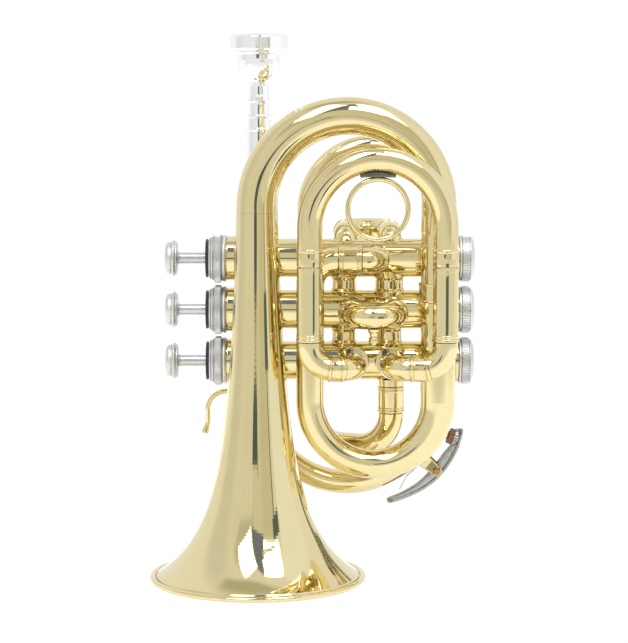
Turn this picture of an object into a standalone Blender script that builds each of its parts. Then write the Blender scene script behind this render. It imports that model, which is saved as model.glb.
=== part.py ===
"""Pocket cornet, standing on its bell: wound brass tubing, three piston valves and four slides.

Frame: +Z runs up from the bell mouth to the mouthpiece, +X runs along the valves from the
finger buttons to the bottom caps, and -Y is the side of the bell and the finger ring. The
part stands on z = 0, with its origin under the middle of its outer box. All sizes below are
in metres, and all places are measured from the valve plane (y = 0) and the ground (z = 0).
"""
import math

import bmesh
import bpy
from mathutils import Quaternion, Vector

# Clearances
SEAT_GAP = 0.0003          # between soldered or seated pieces
RUNNING_GAP = 0.0003       # radial, between a slide leg or piston and what it runs in
STEP_LENGTH = 0.0005       # length of the small cone at a change of tube size

# Smoothness of the solids
ARC_STEP = math.radians(22.5)
TIGHT_ARC_STEP = math.radians(30)
TIGHT_BEND = 0.0200        # bends under this radius take the wider step
TUBE_SIDES = 8
LARGE_TUBE_SIDES = 10
BELL_STEPS = 24
CUP_STEPS = 16
CASING_STEPS = 14
SLEEVE_STEPS = 12
PORT_SIDES = 8

# Tube walls
BOW_WALL = 0.0006
SLEEVE_WALL = 0.0006
LEG_WALL = 0.0005

# Bell: its axis is upright, and its wall follows a flare formula up to the stem
BELL_X = -0.0256
BELL_Y = -0.0240
BELL_RIM_RADIUS = 0.0499
BELL_WALL = 0.0006
BELL_THROAT = 0.00468      # radius that the flare tends to
BELL_FLARE_LENGTH = 0.0324
BELL_FLARE_POWER = 1.225
BELL_RING_CROWDING = 2.2   # how strongly the profile's points gather towards the mouth
BELL_STEM_TOP = 0.1690
RIM_BEAD_HEIGHT = 0.0026
RIM_BEAD_WIDTH = 0.0024
RIM_BEAD_ROUND = 0.0004    # how far the bead's upper edge is rounded off
RIM_LAND_WIDTH = 0.0016    # flat ring that the bell stands on
BELL_RINGS = 8

# Bell bow: the large arch from the bell's stem, over the top and down the far side
BELL_BOW_RADIUS = 0.0413
BELL_BOW_CENTRE_Z = 0.1714
BELL_BOW_TOP_TUBE = 0.0086
BELL_LEG_TUBE = 0.00802
BELL_BOW_END_Z = 0.1290

# Lower bell bow: down the right leg, round the bottom, up the left leg and over to valve 1
LOWER_BOW_RADIUS = 0.0292
LOWER_BOW_CENTRE_Z = 0.0827
LOWER_BOW_TUBE = 0.00655
LEFT_LEG_TUBE = 0.00637
SOCKET_DEPTH = 0.0080      # how far a tube's end stands in the next tube's socket
ENTRY_RISE = 0.0008        # of the run across, above valve 1's axis
ENTRY_TAPER = 0.0120       # length over which the left leg narrows to the run across
ENTRY_TUBE = 0.00575
ENTRY_BEND = 0.0112
ENTRY_JOINT_X = 0.0168
ENTRY_FERRULE_HALF = 0.0052
ENTRY_PORT_X = 0.0293
ENTRY_PORT_BEND = 0.0062

# Valves: three casings along X, the first one on top
VALVE_PITCH = 0.0240
VALVE_3_Z = 0.0985
CASING_RADIUS = 0.0091
CASING_WALL = 0.0007
CASING_LEFT = -0.0405
CASING_RIGHT = 0.0674
CASING_COLLAR_RADIUS = 0.0103
CASING_COLLAR_LENGTH = 0.0065
CASING_FOOT_RADIUS = 0.0099
CASING_FOOT_LENGTH = 0.0050
THREAD_LENGTH = 0.0043
PORT_BORE = 0.0044
KNUCKLE_LEFT_X = 0.0145
KNUCKLE_RIGHT_X = 0.0352
KNUCKLE_LEFT_RADIUS = 0.0055
KNUCKLE_12_RADIUS = 0.0066
KNUCKLE_23_RADIUS = 0.0058

# Caps, felts, buttons
TOP_CAP_LENGTH = 0.0081
TOP_CAP_CROWN = 0.0095
TOP_CAP_SHOULDER = 0.0105
TOP_CAP_KNURL = 0.01145
TOP_CAP_SKIRT = 0.0108
TOP_CAP_KNURL_START = 0.0028
TOP_CAP_KNURL_END = 0.0060
CAP_WALL = 0.0018
BOTTOM_CAP_LENGTH = 0.0073
BOTTOM_CAP_RADIUS = 0.01085
BOTTOM_CAP_CROWN = 0.0086
BOTTOM_CAP_RIM = 0.0104
BOTTOM_CAP_BAND_START = 0.0014
BOTTOM_CAP_BAND_END = 0.0047
BOTTOM_CAP_DOME = 0.0006
FELT_RADIUS = 0.0089
FELT_THICKNESS = 0.0011
STEM_RADIUS = 0.0026
STEM_HOLE_GAP = 0.0004
BUTTON_STOP_GAP = 0.0006   # from the felt to the button when the valve is right down
STEM_TIP_RADIUS = 0.0015
STEM_TIP_LENGTH = 0.0028
STEM_COLLAR_RADIUS = 0.0052
STEM_COLLAR_LENGTH = 0.0018
BUTTON_HEIGHT = 0.0060
BUTTON_RADIUS = 0.00855
BUTTON_BASE_RADIUS = 0.0076
BUTTON_TOP_RADIUS = 0.0067
BUTTON_TOP_DOME = 0.0007
BUTTON_BEAD_START = 0.0009
BUTTON_BEAD_END = 0.0034
BUTTON_BEAD_ROUND = 0.0006

# Pistons and their springs
PISTON_TRAVEL = 0.0125
PISTON_LEFT = -0.0060
PISTON_LENGTH = 0.0520
PISTON_WALL = 0.0008
PISTON_END_WALL = 0.0016
SPRING_RADIUS = 0.0058
SPRING_WIRE = 0.00045
SPRING_CURLS = 4
SPRING_CURL_POINTS = 8

# Mouthpiece, receiver and leadpipe, behind the valves
LEAD_X = -0.0255
LEAD_Y = 0.0190
MOUTHPIECE_RISE = 0.0377   # from the receiver's top to the rim
MOUTHPIECE_RIM_RADIUS = 0.01375
MOUTHPIECE_RIM_HEIGHT = 0.0077
MOUTHPIECE_RIM_FACE = 0.0108
MOUTHPIECE_RIM_ROUND = 0.0018
MOUTHPIECE_STEP_RADIUS = 0.0115
MOUTHPIECE_CUP_RADIUS = 0.01015
CUP_TOP_DROP = 0.0098      # the drops are measured down from the rim's top
CUP_BOTTOM_DROP = 0.0223
BEAD_TOP_DROP = 0.0283
BEAD_BOTTOM_DROP = 0.0318
MOUTHPIECE_NECK = 0.0047
MOUTHPIECE_BEAD = 0.0055
MOUTHPIECE_BEAD_ROUND = 0.0008
CUP_MOUTH = 0.0086
CUP_DEPTH = 0.0120
THROAT_BORE = 0.0019
THROAT_LENGTH = 0.0060
THROAT_LEAD_IN = 0.0020    # from the cup's depth down to the throat
SHANK_LENGTH = 0.0270      # what stands inside the receiver
SHANK_END = 0.0041
SHANK_END_BORE = 0.0033
RECEIVER_TOP = 0.2129
RECEIVER_COLLAR_HEIGHT = 0.0076
RECEIVER_COLLAR_RADIUS = 0.0055
RECEIVER_RADIUS = 0.00565
RECEIVER_BOTTOM = 0.1600
RECEIVER_SPARE = 0.0030    # from the shank's end to the end of the receiver's bore
LEADPIPE_RADIUS = 0.00570
LEADPIPE_END_Z = 0.0920

# Leadpipe bow and tuning slide, behind the valves
LEAD_BOW_RADIUS = 0.04145
LEAD_BOW_CENTRE_Z = 0.0792
LEAD_BOW_TUBE = 0.00570
TUNING_BOW_CENTRE_Z = 0.1680
TUNING_LEFT_X = -0.0018
TUNING_TUBE = 0.00575
TUNING_SPLIT_Z = 0.1530
TUNING_SLEEVE_BOTTOM = 0.1080
TUNING_LEG_CLEARANCE = 0.0020  # from the inner legs' ends to the tubes below them
NECK_LENGTH = 0.0040       # how far a fixed tube stands in its sleeve

# Inlet bow: from the tuning slide, slanting forward to the underside of valve 3
INLET_PORT_X = 0.0362
INLET_TUBE = 0.00585
INLET_BEND = 0.0165
INLET_BOTTOM_Z = 0.0570
INLET_FERRULE_DROP = 0.0121  # from valve 3's axis to the ferrule's top
INLET_FERRULE_LENGTH = 0.0120
FERRULE_RADIUS = 0.0062
FERRULE_RING = 0.00645
FERRULE_RING_WIDTH = 0.0014

# First valve slide: on top of valve 1, running back
FIRST_PORTS = (0.0152, 0.0357)
FIRST_RISE = 0.0113        # of the slide, above valve 1's axis
FIRST_TUBE = 0.00540
FIRST_BEND = 0.0080
FIRST_SPLIT_Y = 0.0250
FIRST_BOW_START = 0.0015   # from the split to the start of the bow's turn
FIRST_TRAVEL = 0.0100
FIRST_HOLD = 0.0035

# Second valve slide: in front of valve 2, with its pull knob underneath
SECOND_PORTS = (0.0176, 0.0374)
SECOND_TUBE = 0.00570
SECOND_RING = 0.0063
SECOND_RING_WIDTH = 0.0035
SECOND_SPLIT_Y = -0.0215
SECOND_FRONT_Y = -0.0350
SECOND_TRAVEL = 0.0070
SECOND_HOLD = 0.0030
KNOB_RADIUS = 0.0026
KNOB_WAIST = 0.0019
KNOB_LENGTH = 0.0068

# Third valve slide: in front of everything, with the finger ring inside its bow
THIRD_Y = -0.0395
THIRD_RISE = 0.0009        # of the elbows, above valve 3's axis
THIRD_PORTS = (0.0184, 0.0358)
THIRD_LEFT_X = -0.0016
THIRD_BOW_RADIUS = 0.0305
THIRD_BOW_CENTRE_Z = 0.1630
THIRD_TUBE = 0.00565
THIRD_PORT_BEND = 0.0082
THIRD_CORNER_BEND = 0.0105
THIRD_SPLIT_Z = 0.1454
THIRD_SLEEVE_BOTTOM = 0.1118
THIRD_LEG_CLEARANCE = 0.0006
THIRD_SLEEVE_RADIUS = 0.00575
THIRD_RING_RADIUS = 0.0061
THIRD_RING_HEIGHT = 0.0022
FINGER_RING_RADIUS = 0.0146
FINGER_RING_DROP = 0.0011  # of the ring's top, below the top of its foot
FINGER_RING_WIRE = 0.00115
RING_FOOT_WIRE = 0.0011
RING_FOOT_HALF_ANGLE = math.radians(17)

# Finger hook and bell brace
HOOK_RISE = 0.0023         # above the start of the leadpipe bow's turn
HOOK_WIRE = 0.00125
HOOK_FOOT = 0.0021
HOOK_X = -0.0504
HOOK_BEND = 0.0090
HOOK_FOOT_LENGTH = 0.0008
HOOK_FOOT_TAPER = 0.0017
HOOK_DROP = 0.0152         # from the hook's top to where its tip turns out
HOOK_TIP_DROP = 0.0202
HOOK_TIP_OUT = 0.0014
HOOK_TIP_BEND = 0.0040
HOOK_TIP_WIRE = 0.0017
BRACE_DROP = 0.0040        # below the top of the bell's stem
BRACE_RADIUS = 0.0018
BRACE_FOOT = 0.0034
BRACE_FOOT_LENGTH = 0.0010

# Water key, on the outside of the leadpipe bow: angles about the bow's centre, below +X
KEY_NIPPLE_ANGLE = math.radians(-21.3)
KEY_PIVOT_ANGLE = math.radians(-39.7)
KEY_TIP_ANGLE = math.radians(-68.0)
KEY_HEAD_ANGLE = math.radians(-16.5)
NIPPLE_HEIGHT = 0.0044
NIPPLE_RADIUS = 0.0027
NIPPLE_BORE = 0.0014
CORK_RADIUS = 0.0038
CORK_THICKNESS = 0.0033
KEY_PIVOT_HEIGHT = 0.0086
KEY_BARREL_RADIUS = 0.0024
KEY_BARREL_GAP = 0.0002    # from the barrel's edge to the end of the saddle's ears
KEY_LEVER_DROP = 0.0022    # of the lever's inner side, below the pin at the pivot
KEY_LEVER_CROWN = 0.0006
KEY_RISE_SHARE = 0.67      # share of the head's length over which the lever rises
KEY_PIN_RADIUS = 0.0009
KEY_WIDTH = 0.0056
KEY_PLATE = 0.0018
KEY_TIP_HEIGHT = 0.0060
KEY_TIP_PLATE = 0.0022
SADDLE_EAR = 0.0012
SADDLE_LENGTH = 0.0068
SADDLE_BASE = 0.0016
PIN_HEAD_RADIUS = 0.0017
KEY_SPRING_WIRE = 0.0004
KEY_SPRING_SHAPE = ((5.5, 0), (10, 0), (14, 0.0004), (18, 0.0022), (21, 0.0040))  # degrees, lift

# Finishes: colour, roughness, metallic
FINISHES = {
    "lacquered_brass": ((0.83, 0.62, 0.24), 0.12, 1.0),
    "gold_brass": ((0.86, 0.64, 0.22), 0.18, 1.0),
    "silver_plate": ((0.86, 0.86, 0.85), 0.10, 1.0),
    "cork": ((0.36, 0.15, 0.07), 0.85, 0.0),
    "black_felt": ((0.02, 0.02, 0.02), 0.95, 0.0),
    "spring_steel": ((0.55, 0.56, 0.58), 0.25, 1.0),
    "piston_alloy": ((0.68, 0.68, 0.66), 0.22, 1.0),
}

# Places worked out from the sizes
VALVE_Z = {number: VALVE_3_Z + (3 - number) * VALVE_PITCH for number in (1, 2, 3)}
ENTRY_Z = VALVE_Z[1] + ENTRY_RISE
FIRST_Z = VALVE_Z[1] + FIRST_RISE
THIRD_Z = VALVE_Z[3] + THIRD_RISE
INLET_FERRULE_TOP = VALVE_Z[3] - INLET_FERRULE_DROP
INLET_FERRULE_BOTTOM = INLET_FERRULE_TOP - INLET_FERRULE_LENGTH
CASING_BORE = CASING_RADIUS - CASING_WALL
PISTON_RADIUS = CASING_BORE - RUNNING_GAP
BELL_LEG_X = BELL_X + 2 * BELL_BOW_RADIUS
LEFT_LEG_X = BELL_LEG_X - 2 * LOWER_BOW_RADIUS
FAR_LEG_X = LEAD_X + 2 * LEAD_BOW_RADIUS
TUNING_BOW_RADIUS = (FAR_LEG_X - TUNING_LEFT_X) / 2
LEAD_BOW_CENTRE = Vector((LEAD_X + LEAD_BOW_RADIUS, LEAD_Y, LEAD_BOW_CENTRE_Z))
HOOK_Z = LEAD_BOW_CENTRE_Z + HOOK_RISE
BRACE_Z = BELL_STEM_TOP - BRACE_DROP
THIRD_RIGHT_X = THIRD_LEFT_X + 2 * THIRD_BOW_RADIUS
RING_FOOT_REACH = (
    THIRD_BOW_RADIUS * math.cos(ARC_STEP / 2) - THIRD_TUBE - SEAT_GAP - RING_FOOT_WIRE)
FINGER_RING_Z = (THIRD_BOW_CENTRE_Z + RING_FOOT_REACH + RING_FOOT_WIRE
                 - FINGER_RING_DROP - FINGER_RING_RADIUS)
SECOND_X = sum(SECOND_PORTS) / 2
TOP_CAP_LEFT = CASING_LEFT - TOP_CAP_LENGTH
FELT_LEFT = TOP_CAP_LEFT - SEAT_GAP - FELT_THICKNESS
BUTTON_RIGHT = FELT_LEFT - BUTTON_STOP_GAP - PISTON_TRAVEL
BOTTOM_CAP_RIGHT = CASING_RIGHT + SEAT_GAP + BOTTOM_CAP_LENGTH
FIRST_BOW_RADIUS = (FIRST_PORTS[1] - FIRST_PORTS[0]) / 2
FIRST_BOW_CENTRE_Y = FIRST_SPLIT_Y + FIRST_BOW_START
BACK_Y = FIRST_BOW_CENTRE_Y + FIRST_BOW_RADIUS + FIRST_TUBE
FRONT_Y = BELL_Y - BELL_RIM_RADIUS
BOX_CENTRE = Vector((
    (BELL_X - BELL_RIM_RADIUS + BOTTOM_CAP_RIGHT) / 2, (FRONT_Y + BACK_Y) / 2, 0))


def clear_scene():
    """Remove whatever the open file holds."""
    for obj in list(bpy.data.objects):
        bpy.data.objects.remove(obj, do_unlink=True)


def new_collection(name):
    """Add a collection under the scene's own."""
    collection = bpy.data.collections.new(name)
    bpy.context.scene.collection.children.link(collection)
    return collection


def make_finish(name):
    """A Principled BSDF with one of the named finishes."""
    colour, roughness, metallic = FINISHES[name]
    material = bpy.data.materials.new(name)
    material.use_nodes = True
    shader = material.node_tree.nodes["Principled BSDF"]
    shader.inputs["Base Color"].default_value = (*colour, 1)
    shader.inputs["Roughness"].default_value = roughness
    shader.inputs["Metallic"].default_value = metallic
    material.diffuse_color = (*colour, 1)
    return material


def make_pivot(name, at=(0, 0, 0)):
    """An empty that carries one body, on that body's joint axis."""
    pivot = bpy.data.objects.new(name, None)
    CORNET.objects.link(pivot)
    pivot.parent = FRAME
    pivot.location = Vector(at)
    return pivot


def place(obj, pivot, at, finish=None):
    """Link a piece, give it its finish and stand it at a place on its pivot."""
    CORNET.objects.link(obj)
    obj.parent = pivot
    obj.location = Vector(at) - pivot.location
    if finish:
        obj.data.materials.append(MATERIALS[finish])
    return obj


def place_cutter(obj, at):
    """Link a cutting or joining shape, which is not a piece of the cornet."""
    CUTTERS.objects.link(obj)
    obj.parent = FRAME
    obj.location = Vector(at)
    obj.hide_render = True
    obj.display_type = "WIRE"
    return obj


def boolean(obj, other, operation):
    """Cut or join one shape with another."""
    modifier = obj.modifiers.new(f"{operation.lower()}_{other.name}", "BOOLEAN")
    modifier.operation = operation
    modifier.object = other
    return modifier


def route(corners, bends):
    """Points along straight runs between corners, each corner rounded to its bend radius."""
    corners = [Vector(corner) for corner in corners]
    points = [corners[0]]
    for before, corner, after, bend in zip(corners, corners[1:], corners[2:], bends):
        back = (before - corner).normalized()
        ahead = (after - corner).normalized()
        turn = math.pi - back.angle(ahead)
        tangent = bend * math.tan(turn / 2)
        centre = corner + (back + ahead).normalized() * bend / math.cos(turn / 2)
        first = corner + back * tangent - centre
        last = corner + ahead * tangent - centre
        axis = first.cross(last).normalized()
        arc_step = TIGHT_ARC_STEP if bend < TIGHT_BEND else ARC_STEP
        count = math.ceil(turn / arc_step - 0.001)
        for index in range(count + 1):
            points.append(centre + Quaternion(axis, turn * index / count) @ first)
    points.append(corners[-1])
    kept = [points[0]]
    for point in points[1:]:
        if (point - kept[-1]).length > 1e-6:
            kept.append(point)
    return kept


def with_stations(points, stations):
    """Add a point wherever the tube's size changes, and work out the radius at each point.

    A station is (distance, radius). A negative distance counts back from the far end.
    """
    lengths = [0.0]
    for first, second in zip(points, points[1:]):
        lengths.append(lengths[-1] + (second - first).length)
    total = lengths[-1]
    stations = sorted((s if s >= 0 else total + s, r) for s, r in stations)
    for distance, _ in stations:
        if 0 < distance < total and min(abs(distance - s) for s in lengths) > 1e-5:
            index = next(i for i, s in enumerate(lengths) if s > distance)
            span = lengths[index] - lengths[index - 1]
            share = (distance - lengths[index - 1]) / span
            points.insert(index, points[index - 1].lerp(points[index], share))
            lengths.insert(index, distance)
    return [(point, radius_at(s, stations)) for point, s in zip(points, lengths)]


def radius_at(distance, stations):
    """Radius between stations, in proportion, and constant past the first and last."""
    if distance <= stations[0][0]:
        return stations[0][1]
    for (s_0, r_0), (s_1, r_1) in zip(stations, stations[1:]):
        if distance <= s_1:
            share = (distance - s_0) / max(s_1 - s_0, 1e-9)
            return r_0 + (r_1 - r_0) * share
    return stations[-1][1]


def mirrored(stations):
    """Stations for both ends of a symmetrical bow, from those of its first end."""
    return stations + [(-s - 1e-9, r) for s, r in stations if s > 0] + [(-1e-9, stations[0][1])]


def sweep(name, points, stations, pivot, finish, wall=None, sides=TUBE_SIDES):
    """A round tube or rod along a route: hollow with open ends if it has a wall."""
    start = points[0].copy()
    spine = with_stations(points, stations)
    curve = bpy.data.curves.new(name, "CURVE")
    curve.dimensions = "3D"
    curve.bevel_depth = 1.0
    curve.bevel_resolution = sides // 2 - 2
    curve.use_fill_caps = wall is None
    spline = curve.splines.new("POLY")
    spline.points.add(len(spine) - 1)
    for point, (position, radius) in zip(spline.points, spine):
        point.co = (*(position - start), 1)
        point.radius = radius
    spline.use_smooth = True
    obj = place(bpy.data.objects.new(name, curve), pivot, start, finish)
    if wall:
        shell = obj.modifiers.new("wall", "SOLIDIFY")
        shell.thickness = wall
        shell.offset = -1
    return obj


def as_mesh(obj):
    """Replace a curve piece by its mesh, so that it can be cut."""
    bpy.context.view_layer.update()
    depsgraph = bpy.context.evaluated_depsgraph_get()
    mesh = bpy.data.meshes.new_from_object(obj.evaluated_get(depsgraph))
    shape = bmesh.new()
    shape.from_mesh(mesh)
    bmesh.ops.remove_doubles(shape, verts=shape.verts, dist=1e-6)
    bmesh.ops.recalc_face_normals(shape, faces=shape.faces)
    shape.to_mesh(mesh)
    shape.free()
    name = obj.name
    solid = bpy.data.objects.new(name, mesh)
    for collection in obj.users_collection:
        collection.objects.link(solid)
    solid.parent = obj.parent
    solid.matrix_world = obj.matrix_world.copy()
    solid.hide_render = obj.hide_render
    solid.display_type = obj.display_type
    bpy.data.objects.remove(obj, do_unlink=True)
    solid.name = name
    return solid


def turned(name, profile, axis, steps=CASING_STEPS, ring=False):
    """A turned shape. The profile is (radius, height) pairs down its outer side.

    A ring's profile closes on itself, and any other starts and ends on the axis.
    """
    mesh = bpy.data.meshes.new(name)
    edges = [(i, i + 1) for i in range(len(profile) - 1)]
    if ring:
        edges.append((len(profile) - 1, 0))
    mesh.from_pydata([(radius, 0, height) for radius, height in profile], edges, [])
    obj = bpy.data.objects.new(name, mesh)
    obj.rotation_euler = {
        "X": (0, math.pi / 2, 0), "Y": (-math.pi / 2, 0, 0), "Z": (0, 0, 0)}[axis]
    screw = obj.modifiers.new("turn", "SCREW")
    screw.steps = steps
    screw.render_steps = steps
    screw.use_merge_vertices = True
    screw.merge_threshold = 1e-5
    screw.use_smooth_shade = True
    return obj


def turned_piece(name, profile, at, axis, pivot, finish, steps=CASING_STEPS, ring=False):
    """A turned piece of the cornet, standing at a place on its pivot."""
    return place(turned(name, profile, axis, steps, ring), pivot, at, finish)


def sleeve_profile(bore, runs):
    """Closed profile of a sleeve from runs of (length, radius), listed from its top end."""
    top = sum(length for length, _ in runs)
    profile = []
    height = top
    for length, radius in runs:
        profile.append((radius, height))
        height -= length
        profile.append((radius, height + STEP_LENGTH / 2))
    profile[-1] = (runs[-1][1], 0.0)
    return profile + [(bore, 0.0), (bore, top)]


def casing_envelope(number):
    """A valve casing's outside with the seating gap, which trims what is soldered to it."""
    reach = CASING_RADIUS + SEAT_GAP
    length = CASING_RIGHT - CASING_LEFT
    shape = turned(
        f"casing_envelope_{number}", [(0, length), (reach, length), (reach, 0), (0, 0)], "X")
    return place_cutter(shape, (CASING_LEFT, 0, VALVE_Z[number]))


def port_cutter(name, number, ports):
    """Round holes through a valve's wall. A port is (x, direction)."""
    shape = bmesh.new()
    reach = 1.5 * CASING_RADIUS
    inner = 0.35 * CASING_RADIUS
    for x, direction in ports:
        direction = Vector(direction)
        turn = Vector((0, 0, 1)).rotation_difference(direction).to_matrix().to_4x4()
        hole = bmesh.ops.create_cone(
            shape, cap_ends=True, segments=PORT_SIDES, radius1=PORT_BORE, radius2=PORT_BORE,
            depth=reach - inner, matrix=turn)
        shift = Vector((x, 0, 0)) + direction * (reach + inner) / 2
        bmesh.ops.translate(shape, verts=hole["verts"], vec=shift)
    mesh = bpy.data.meshes.new(name)
    shape.to_mesh(mesh)
    shape.free()
    return place_cutter(bpy.data.objects.new(name, mesh), (0, 0, VALVE_Z[number]))


UP, DOWN, FORWARD = (0, 0, 1), (0, 0, -1), (0, -1, 0)
STRAIGHT_PORTS = {
    1: [(ENTRY_PORT_X, FORWARD), (KNUCKLE_LEFT_X, DOWN)],
    2: [(KNUCKLE_LEFT_X, UP), (KNUCKLE_RIGHT_X, DOWN)],
    3: [(KNUCKLE_RIGHT_X, UP), (INLET_PORT_X, DOWN)],
}
SLIDE_PORTS = {
    1: [(x, UP) for x in FIRST_PORTS],
    2: [(x, FORWARD) for x in SECOND_PORTS],
    3: [(x, FORWARD) for x in THIRD_PORTS],
}


def flare_radius(z):
    """Outer radius of the bell at a height above the rim bead's middle."""
    rise = max(z - RIM_BEAD_HEIGHT / 2, 0)
    mouth = BELL_RIM_RADIUS - RIM_BEAD_WIDTH / 2
    return BELL_THROAT + (mouth - BELL_THROAT) * (1 + rise / BELL_FLARE_LENGTH) ** -BELL_FLARE_POWER


def build_bell():
    """The bell, spun thin, with a bead rolled round its rim and a flat land to stand on."""
    outer = []
    for index in range(BELL_RINGS + 1):
        share = (1 - index / BELL_RINGS) ** BELL_RING_CROWDING
        z = RIM_BEAD_HEIGHT + (BELL_STEM_TOP - RIM_BEAD_HEIGHT) * share
        outer.append((flare_radius(z), z))
    bead_inner = BELL_RIM_RADIUS - RIM_BEAD_WIDTH
    land_inner = BELL_RIM_RADIUS - (RIM_BEAD_WIDTH + RIM_LAND_WIDTH) / 2
    profile = outer + [
        (BELL_RIM_RADIUS - RIM_BEAD_ROUND, RIM_BEAD_HEIGHT - RIM_BEAD_ROUND),
        (BELL_RIM_RADIUS, RIM_BEAD_HEIGHT / 2),
        (land_inner + RIM_LAND_WIDTH, 0),
        (land_inner, 0),
        (bead_inner, RIM_BEAD_HEIGHT / 2),
    ]
    for radius, z in reversed(outer[:-1]):
        profile.append((radius - BELL_WALL, z))
    turned_piece("bell", profile, (BELL_X, BELL_Y, 0), "Z", BODY, "lacquered_brass",
                 BELL_STEPS, ring=True)


def build_bell_bow():
    """The large top arch, tapering from the bell's stem to the right leg."""
    top = BELL_BOW_CENTRE_Z + BELL_BOW_RADIUS
    start = BELL_STEM_TOP + SEAT_GAP
    points = route(
        [(BELL_X, BELL_Y, start), (BELL_X, BELL_Y, top), (BELL_LEG_X, BELL_Y, top),
         (BELL_LEG_X, BELL_Y, BELL_BOW_END_Z)],
        [BELL_BOW_RADIUS, BELL_BOW_RADIUS])
    half_arc = math.pi * BELL_BOW_RADIUS / 2
    rise = BELL_BOW_CENTRE_Z - start
    stations = [(0, flare_radius(BELL_STEM_TOP)), (rise + half_arc, BELL_BOW_TOP_TUBE),
                (rise + 2 * half_arc, BELL_LEG_TUBE)]
    sweep("bell_bow", points, stations, BODY, "lacquered_brass", BOW_WALL, LARGE_TUBE_SIDES)


def build_lower_bell_bow():
    """Right leg, bottom bow, left leg and the run across to valve 1."""
    plane = BELL_Y
    bottom = LOWER_BOW_CENTRE_Z - LOWER_BOW_RADIUS
    top = BELL_BOW_END_Z + SOCKET_DEPTH
    points = route(
        [(BELL_LEG_X, plane, top), (BELL_LEG_X, plane, bottom), (LEFT_LEG_X, plane, bottom),
         (LEFT_LEG_X, plane, ENTRY_Z), (ENTRY_JOINT_X, plane, ENTRY_Z)],
        [LOWER_BOW_RADIUS, LOWER_BOW_RADIUS, ENTRY_BEND])
    socket = BELL_LEG_TUBE + RUNNING_GAP + BOW_WALL
    leg = top - LOWER_BOW_CENTRE_Z
    half_arc = math.pi * LOWER_BOW_RADIUS / 2
    across = ENTRY_JOINT_X - LEFT_LEG_X - ENTRY_BEND
    neck = ENTRY_FERRULE_HALF
    stations = [
        (0, socket), (SOCKET_DEPTH + SEAT_GAP, socket),
        (SOCKET_DEPTH + SEAT_GAP + STEP_LENGTH, BELL_LEG_TUBE), (leg, BELL_LEG_TUBE),
        (leg + half_arc, LOWER_BOW_TUBE), (leg + 2 * half_arc, LEFT_LEG_TUBE),
        (-across - ENTRY_TAPER, LEFT_LEG_TUBE), (-neck - STEP_LENGTH, ENTRY_TUBE),
        (-neck, ENTRY_TUBE - BOW_WALL), (-1e-9, ENTRY_TUBE - BOW_WALL)]
    sweep("bell_lower_bow", points, stations, BODY, "lacquered_brass", BOW_WALL,
          LARGE_TUBE_SIDES)


def build_valve_entry():
    """The knuckle that turns into valve 1, and the ferrule on its joint."""
    points = route(
        [(ENTRY_JOINT_X + SEAT_GAP, BELL_Y, ENTRY_Z), (ENTRY_PORT_X, BELL_Y, ENTRY_Z),
         (ENTRY_PORT_X, -CASING_BORE, ENTRY_Z)],
        [ENTRY_PORT_BEND])
    neck = ENTRY_FERRULE_HALF
    stations = [(0, ENTRY_TUBE - BOW_WALL), (neck, ENTRY_TUBE - BOW_WALL),
                (neck + STEP_LENGTH, ENTRY_TUBE)]
    knuckle = as_mesh(sweep("valve_entry_knuckle", points, stations, BODY, "lacquered_brass",
                            BOW_WALL))
    boolean(knuckle, ENVELOPES[1], "DIFFERENCE")


def build_ferrule(name, at, axis, length):
    """A soldered sleeve with a raised ring at each end, round a necked tube joint."""
    bore = ENTRY_TUBE - BOW_WALL + SEAT_GAP
    plain = length - 2 * FERRULE_RING_WIDTH
    profile = sleeve_profile(bore, [
        (FERRULE_RING_WIDTH, FERRULE_RING), (plain, FERRULE_RADIUS),
        (FERRULE_RING_WIDTH, FERRULE_RING)])
    turned_piece(name, profile, at, axis, BODY, "lacquered_brass", SLEEVE_STEPS, ring=True)


def build_casing(number):
    """A valve casing: threaded ends, a collar by the top cap, and holes for its ports."""
    left = -THREAD_LENGTH
    right = CASING_RIGHT - CASING_LEFT + THREAD_LENGTH
    foot = CASING_RIGHT - CASING_LEFT
    profile = [
        (CASING_RADIUS, right), (CASING_RADIUS, foot), (CASING_FOOT_RADIUS, foot),
        (CASING_FOOT_RADIUS, foot - CASING_FOOT_LENGTH),
        (CASING_RADIUS, foot - CASING_FOOT_LENGTH - STEP_LENGTH),
        (CASING_RADIUS, CASING_COLLAR_LENGTH + 2 * STEP_LENGTH),
        (CASING_COLLAR_RADIUS, CASING_COLLAR_LENGTH), (CASING_COLLAR_RADIUS, SEAT_GAP),
        (CASING_RADIUS, SEAT_GAP), (CASING_RADIUS, left),
        (CASING_BORE, left), (CASING_BORE, right)]
    casing = turned_piece(f"valve_casing_{number}", profile, (CASING_LEFT, 0, VALVE_Z[number]),
                          "X", BODY, "lacquered_brass", ring=True)
    ports = STRAIGHT_PORTS[number] + SLIDE_PORTS[number]
    boolean(casing, port_cutter(f"casing_ports_{number}", number, ports), "DIFFERENCE")


def build_knuckle(upper, x, radius, name):
    """A short tube that joins two casings, trimmed to both."""
    points = [Vector((x, 0, VALVE_Z[upper])), Vector((x, 0, VALVE_Z[upper + 1]))]
    knuckle = as_mesh(sweep(name, points, [(0, radius)], BODY, "lacquered_brass", BOW_WALL))
    boolean(knuckle, ENVELOPES[upper], "DIFFERENCE")
    boolean(knuckle, ENVELOPES[upper + 1], "DIFFERENCE")


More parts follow.
